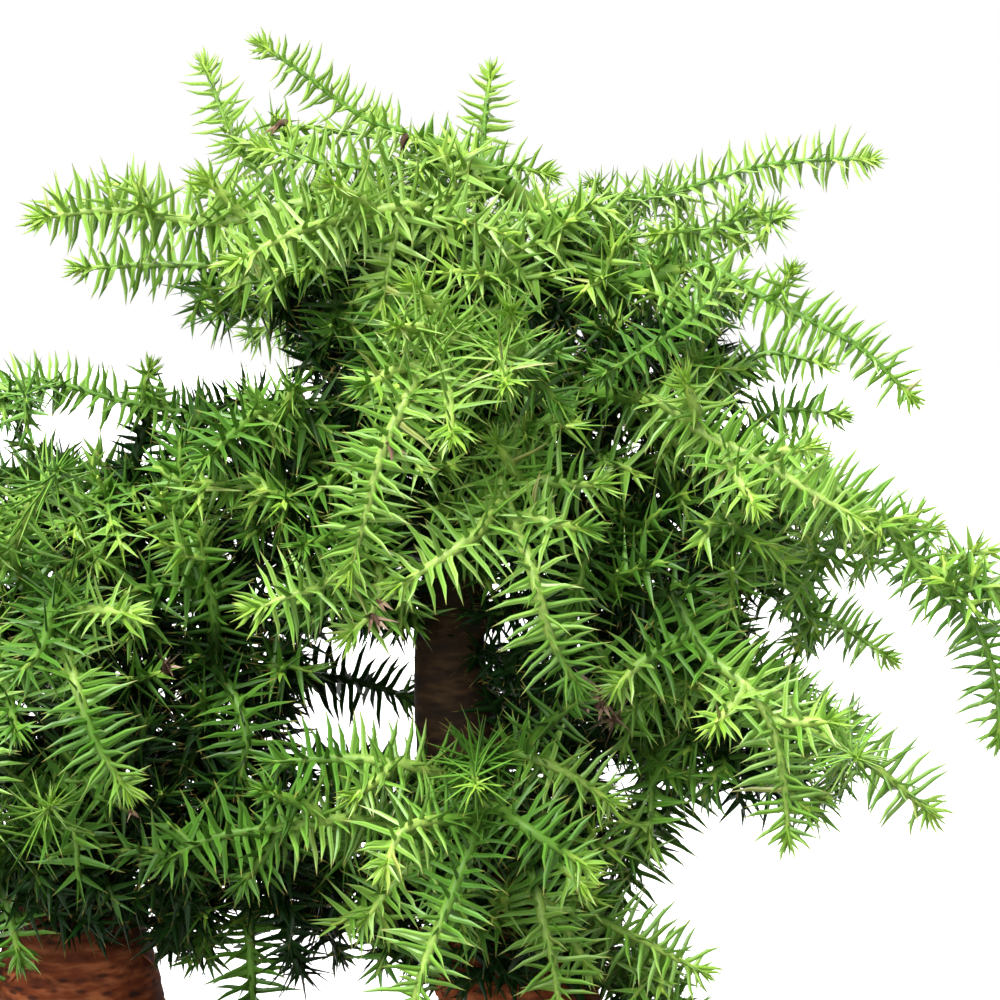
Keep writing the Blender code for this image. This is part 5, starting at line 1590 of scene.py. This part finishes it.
def leaf_material():
    """Living juvenile leaf: waxy cuticle over green tissue, two pale stomatal bands beside the keel, a
    yellow-green margin and a pale horny tip; new leaves near a shoot's end are lime. It reads as satin.
    All of it darkens with painted shade from the growth over it, as old inner leaves do, and the lime fades
    there."""
    made, tree = new_material("juvenile_leaf")
    read = {}
    for name in ("tint", "new", "edge", "rise", "age"):
        read[name] = add_node(tree, "ShaderNodeAttribute", out="Fac", attribute_name=name)
    tissue, wax, bands, lines, horn = (
        add_node(tree, "ShaderNodeValToRGB", {0: read[name]}, stops=stops) for name, stops in (
            ("tint", ((0.0, "#4C881C"), (0.5, "#6BA72A"), (0.985, "#8CBA3C"), (0.99, "#8A6A3C"))),
            ("tint", ((0.2, "#9CC65E"), (0.9, "#C2DC94"))),
            ("edge", ((0.24, "#000000"), (0.42, "#C4C4C4"), (0.72, "#C4C4C4"), (0.9, "#000000"))),
            ("edge", ((0.04, "#E0E0E0"), (0.2, "#000000"))),
            ("rise", ((0.78, "#000000"), (1.0, "#E0E0E0"))),
        )
    )
    grown_and_half_shaded, shaded = (
        add_node(tree, "ShaderNodeValToRGB", {0: read["tint"]}, stops=stops) for stops in (
            ((0.0, "#386814"), (0.5, "#4C821C"), (1.0, "#629628")),
            ((0.0, "#061204"), (0.6, "#0C2208"), (1.0, "#17360E")),
        )
    )
    place = add_node(tree, "ShaderNodeTexCoord", out="Object")
    height = add_node(tree, "ShaderNodeSeparateXYZ", {0: place}, "Z")
    # Paler towards the top of the crown: partly young growth, partly painted light on the top.
    pale = add_node(tree, "ShaderNodeMapRange",
                    {0: height, 1: PALE_HEIGHTS[0] * MM, 2: PALE_HEIGHTS[1] * MM, 4: PALE_MOST})
    # The leaf's colours by age: they darken with painted shade, as old inner leaves do.
    flesh = by_age_and_shade(tree, laid_over(tree, tissue, (pale, "#AECB58")), grown_and_half_shaded, shaded)
    waxy = by_age_and_shade(tree, wax, "#6C9E46", "#1C3C14")
    margin = by_age_and_shade(tree, "#9DBB3A", "#609230", "#163A0C")
    # The lime of new growth fades out where painted shade falls on it.
    green = add_node(tree, "ShaderNodeMapRange", {0: read["age"], 2: HALF_SHADE_AGE, 3: 1.0, 4: 0.0})
    fresh = add_node(tree, "ShaderNodeMath", {0: read["new"], 1: green}, operation="MULTIPLY")
    lime = add_node(tree, "ShaderNodeValToRGB", {0: fresh}, stops=((0.0, "#000000"), (1.0, "#C8C8C8")))
    colour = laid_over(tree, flesh, (bands, waxy), (lines, margin), (lime, "#A0C63A"), (horn, "#A8884A"))
    # Specular drops where painted shade falls, so the shaded leaves stay dark.
    gloss = add_node(tree, "ShaderNodeMapRange", {0: read["age"], 3: 0.45, 4: 0.12})
    body = add_node(tree, "ShaderNodeBsdfPrincipled",
                    {"Base Color": colour, "Roughness": 0.38, "Specular IOR Level": gloss})
    through = add_node(tree, "ShaderNodeBsdfTranslucent", {"Color": colour})
    both = add_node(tree, "ShaderNodeMixShader", {0: LEAF_THROUGH, 1: body, 2: through})
    add_node(tree, "ShaderNodeOutputMaterial", {"Surface": both})
    return made


def stem_material():
    """Green stem of a soft shoot, pale and ridged by the feet of the leaves, darkened by painted shade like
    its leaves.
    """
    made, tree = new_material("green_stem")
    place = add_node(tree, "ShaderNodeTexCoord", out="Object")
    new, size, age = (
        add_node(tree, "ShaderNodeAttribute", out="Fac", attribute_name=name)
        for name in ("new", "size", "age")
    )
    mottle = add_node(tree, "ShaderNodeTexNoise",
                      {"Vector": place, "Scale": waves(STEM_MOTTLE), "Detail": 2.0})
    slim = add_node(tree, "ShaderNodeValToRGB", {0: mottle}, stops=((0.35, "#4C7A20"), (0.65, "#6A9632")))
    stout = add_node(tree, "ShaderNodeValToRGB", {0: mottle}, stops=((0.35, "#789640"), (0.65, "#9AB552")))
    girth = add_node(tree, "ShaderNodeMapRange", {0: size, 1: 0.75, 2: 1.0})
    # Stem colour by age: darker with painted shade, as old inner stems are.
    green = by_age_and_shade(tree, laid_over(tree, slim, (girth, stout)), "#547C26", "#12240A")
    # The lime of new growth fades out where painted shade falls on the stem.
    soft = add_node(tree, "ShaderNodeMapRange", {0: age, 3: 1.0, 4: 0.0})
    fresh = add_node(tree, "ShaderNodeMath", {0: new, 1: soft}, operation="MULTIPLY")
    colour = laid_over(tree, green, (fresh, "#A3BF4C"))
    gloss = add_node(tree, "ShaderNodeMapRange", {0: age, 3: 0.45, 4: 0.06})
    body = add_node(tree, "ShaderNodeBsdfPrincipled",
                    {"Base Color": colour, "Roughness": 0.5, "Specular IOR Level": gloss})
    add_node(tree, "ShaderNodeOutputMaterial", {"Surface": body})
    return made


def dead_material():
    """Dead leaves and twigs: dry, brittle, grey-brown to fawn, with no wax left."""
    made, tree = new_material("dead_leaf")
    tint = add_node(tree, "ShaderNodeAttribute", out="Fac", attribute_name="tint")
    colour = add_node(tree, "ShaderNodeValToRGB", {0: tint},
                      stops=((0.1, "#4E3A2C"), (0.5, "#7C6250"), (0.9, "#A58E7A")))
    body = add_node(tree, "ShaderNodeBsdfPrincipled",
                    {"Base Color": colour, "Roughness": 0.8, "Specular IOR Level": 0.25})
    add_node(tree, "ShaderNodeOutputMaterial", {"Surface": body})
    return made


def bark_material(name, dark, green):
    """Hoop pine bark: papery copper layers that break in hoops over darker, pitted wood, dry and matte. It
    turns grey-brown between the dark heights, with weathering and painted shade under the crown, and thin and
    green, as in the crown, between the green ones. Hollows of the relief get painted shade."""
    made, tree = new_material(name)
    place = add_node(tree, "ShaderNodeTexCoord", out="Object")
    flat, lens = (
        add_node(tree, "ShaderNodeMapping", {"Vector": place, "Scale": [waves(size) for size in sizes]})
        for sizes in (BARK_STREAK, BARK_PIT)
    )
    streak = add_node(tree, "ShaderNodeTexNoise", {"Vector": flat, "Scale": 1.0, "Detail": 4.0})
    patch = add_node(tree, "ShaderNodeTexNoise", {"Vector": place, "Scale": waves(BARK_PATCH), "Detail": 5.0})
    spots = add_node(tree, "ShaderNodeTexVoronoi", {"Vector": lens, "Scale": 1.0}, "Distance")
    height = add_node(tree, "ShaderNodeSeparateXYZ", {0: place}, "Z")
    # Darker up the trunk between the dark heights: weathering and painted shade of the crown over it.
    weathered_and_crown_shaded, crown, young = (
        add_node(tree, "ShaderNodeMapRange", {0: height, 1: low * MM, 2: high * MM})
        for low, high in (dark, green, GREEN_WOOD_HEIGHTS)
    )
    copper, old, patched, pits = (
        # The old ramp is the dark bark of the weathered part that is also in painted shade.
        add_node(tree, "ShaderNodeValToRGB", {0: pattern}, stops=stops) for pattern, stops in (
            (streak, ((0.28, "#3C170A"), (0.5, "#703518"), (0.72, "#A4603A"))),
            (streak, ((0.28, "#150D06"), (0.5, "#291B0C"), (0.72, "#43301A"))),
            (patch, ((0.40, "#000000"), (0.66, "#808080"))),
            (spots, ((0.16, "#E8E8E8"), (0.36, "#000000"))),
        )
    )
    flake, relief = (
        add_node(tree, "ShaderNodeAttribute", out="Fac", attribute_name=name) for name in ("flake", "relief")
    )
    flake = add_node(tree, "ShaderNodeMath", {0: flake, 1: 0.6}, operation="MULTIPLY")
    # Darker where the relief sinks: painted shade in the bark's hollows.
    sunk = add_node(tree, "ShaderNodeMapRange", {0: relief, 1: 0.12, 2: -0.35, 4: 0.7},
                    interpolation_type="SMOOTHSTEP")
    copper = laid_over(tree, copper, (patched, "#4A2416"), (flake, "#A4603C"))
    old = laid_over(tree, old, (flake, "#4A3420"))
    thin = laid_over(tree, "#24300F", (young, "#5C7A2E"))
    colour = laid_over(tree, copper, (weathered_and_crown_shaded, old), (pits, "#160804"), (sunk, "#160804"), (crown, thin))
    bump = add_node(tree, "ShaderNodeBump", {"Strength": 0.6, "Distance": 0.5 * MM, "Height": streak})
    body = add_node(tree, "ShaderNodeBsdfPrincipled",
                    {"Base Color": colour, "Roughness": 0.85, "Specular IOR Level": 0.2, "Normal": bump})
    add_node(tree, "ShaderNodeOutputMaterial", {"Surface": body})
    return made


def stoneware_material():
    """Unglazed iron-rich stoneware, fired brown, wiped smooth before firing: fine speckle, faint streaks."""
    made, tree = new_material("fired_stoneware")
    place = add_node(tree, "ShaderNodeTexCoord", out="Object")
    cloud, speck = (
        add_node(tree, "ShaderNodeTexNoise", {"Vector": place, "Scale": waves(size), "Detail": detail})
        for size, detail in ((CLAY_CLOUD, 5.0), (CLAY_SPECK, 2.0))
    )
    clay = add_node(tree, "ShaderNodeValToRGB", {0: cloud},
                    stops=((0.35, "#4A2B20"), (0.6, "#6B4231"), (0.75, "#7A5240")))
    specks = add_node(tree, "ShaderNodeValToRGB", {0: speck}, stops=((0.62, "#000000"), (0.72, "#999999")))
    colour = laid_over(tree, clay, (specks, "#2C1A14"))
    rough = add_node(tree, "ShaderNodeMapRange", {0: cloud, 1: 0.3, 2: 0.7, 3: 0.72, 4: 0.9})
    bump = add_node(tree, "ShaderNodeBump", {"Strength": 0.35, "Distance": 0.3 * MM, "Height": speck})
    body = add_node(tree, "ShaderNodeBsdfPrincipled",
                    {"Base Color": colour, "Roughness": rough, "Normal": bump})
    add_node(tree, "ShaderNodeOutputMaterial", {"Surface": body})
    return made


def soil_material(name, stops):
    """Fired clay grit with pumice and lava, dusty and damp between: each grain its own colour."""
    made, tree = new_material(name)
    place = add_node(tree, "ShaderNodeTexCoord", out="Object")
    tint = add_node(tree, "ShaderNodeAttribute", out="Fac", attribute_name="tint")
    kind = add_node(tree, "ShaderNodeValToRGB", {0: tint}, stops=stops)
    dust = add_node(tree, "ShaderNodeTexNoise", {"Vector": place, "Scale": waves(GRIT_DUST), "Detail": 3.0})
    colour = add_node(tree, "ShaderNodeMix", {0: 0.35, 6: kind, 7: dust.node.outputs[1]}, 2, data_type="RGBA",
                      blend_type="MULTIPLY")
    bump = add_node(tree, "ShaderNodeBump", {"Strength": 0.5, "Distance": 0.4 * MM, "Height": dust})
    body = add_node(tree, "ShaderNodeBsdfPrincipled",
                    {"Base Color": colour, "Roughness": 0.93, "Normal": bump})
    add_node(tree, "ShaderNodeOutputMaterial", {"Surface": body})
    return made


def mesh_material():
    """Black polyethylene mesh, moulded, dull."""
    made, tree = new_material("moulded_polyethylene")
    place = add_node(tree, "ShaderNodeTexCoord", out="Object")
    dust = add_node(tree, "ShaderNodeTexNoise", {"Vector": place, "Scale": waves(SCREEN_DUST), "Detail": 3.0})
    colour = add_node(tree, "ShaderNodeValToRGB", {0: dust}, stops=((0.4, "#181A18"), (0.7, "#3A3A34")))
    body = add_node(tree, "ShaderNodeBsdfPrincipled", {"Base Color": colour, "Roughness": 0.6})
    add_node(tree, "ShaderNodeOutputMaterial", {"Surface": body})
    return made


def build_stage():
    """A pale floor, a white surround, a soft key from above the front and weaker fills."""
    scene = bpy.context.scene
    scene.view_settings.view_transform = "Standard"
    bm = bmesh.new()
    bmesh.ops.create_circle(bm, cap_ends=True, segments=64, radius=FLOOR_RADIUS)
    floor = new_object("floor", mesh_of("floor", bm))
    board, tree = new_material("white_board")
    plain = add_node(tree, "ShaderNodeBsdfDiffuse", {"Color": "#F4F4F4"})
    add_node(tree, "ShaderNodeOutputMaterial", {"Surface": plain})
    coat(floor.data, board)
    floor.visible_diffuse = False
    world = bpy.data.worlds.new("surround")
    scene.world = world
    world.use_nodes = True
    sky = world.node_tree
    sky.nodes.clear()
    toward = add_node(sky, "ShaderNodeTexCoord", out="Generated")
    rise = add_node(sky, "ShaderNodeSeparateXYZ", {0: toward}, "Z")
    strength = add_node(sky, "ShaderNodeMapRange",
                        {0: rise, 1: -AMBIENT_EDGE, 2: AMBIENT_EDGE, 3: AMBIENT_BELOW, 4: AMBIENT_ABOVE})
    around = add_node(sky, "ShaderNodeBackground", {"Color": "#FFFFFF", "Strength": strength})
    behind = add_node(sky, "ShaderNodeBackground", {"Color": "#FFFFFF", "Strength": 1.0})
    looked = add_node(sky, "ShaderNodeLightPath", out="Is Camera Ray")
    mixed = add_node(sky, "ShaderNodeMixShader", {0: looked, 1: around, 2: behind})
    add_node(sky, "ShaderNodeOutputWorld", {"Surface": mixed})
    for name, azimuth, rise, strength, spread in LAMPS:
        lamp = bpy.data.lights.new(name, "SUN")
        lamp.energy = strength
        lamp.angle = math.radians(spread)
        holder = new_object(name, lamp)
        holder.rotation_euler = Vector(lamp_way(azimuth, rise)).to_track_quat("Z", "Y").to_euler()


def build_camera():
    """The photograph's own angle: a long lens, a little above the crown's middle."""
    eye = EYE * MM
    aim = Vector((VIEW_ACROSS, 0, VIEW_HEIGHT)) * MM
    lens = bpy.data.cameras.new("camera")
    lens.sensor_width = 36
    lens.lens = 18 * VIEW_DISTANCE / VIEW_HALF
    lens.clip_start = 0.01
    camera = new_object("camera", lens)
    camera.location = eye + POT_PLACE
    camera.rotation_euler = (aim - eye).to_track_quat("-Z", "Y").to_euler()
    bpy.context.scene.camera = camera


def main():
    """Builds every piece, then the stage and the camera."""
    limbs = {limb: limb_path(limb) for limb in LIMBS}
    shoots, nodes = plan_shoots(limbs)
    twigs = fill_twigs(shoots, limbs)
    sleeves = limb_sleeves(limbs)
    growth = shoots + tip_stars(shoots) + twigs + dry_twigs(shoots + twigs) + sleeves + tip_stars(sleeves)
    shade_growth(growth)
    build_foliage(growth, nodes, leaf_material(), stem_material(), dead_material())
    weathered_and_shaded, fresh = (bark_material(name, *heights) for name, heights in BARK_HEIGHTS.items())
    build_tree("wood_right", "trunk_right", "right", ["leader"], limbs, weathered_and_shaded)
    build_tree("wood_left", "trunk_left", "left", [], limbs, fresh)
    build_pot(stoneware_material())
    soil = soil_material("damp_soil", ((0.0, "#3A2A1E"), (1.0, "#3A2A1E")))
    build_grit(soil_material("clay_grit", GRIT_COLOURS))
    screen = mesh_material()
    for node, material in (("soil", soil), ("drain_mesh_left", screen), ("drain_mesh_right", screen)):
        coat(frame["nodes"][node].data, material)
    build_stage()
    build_camera()


main()
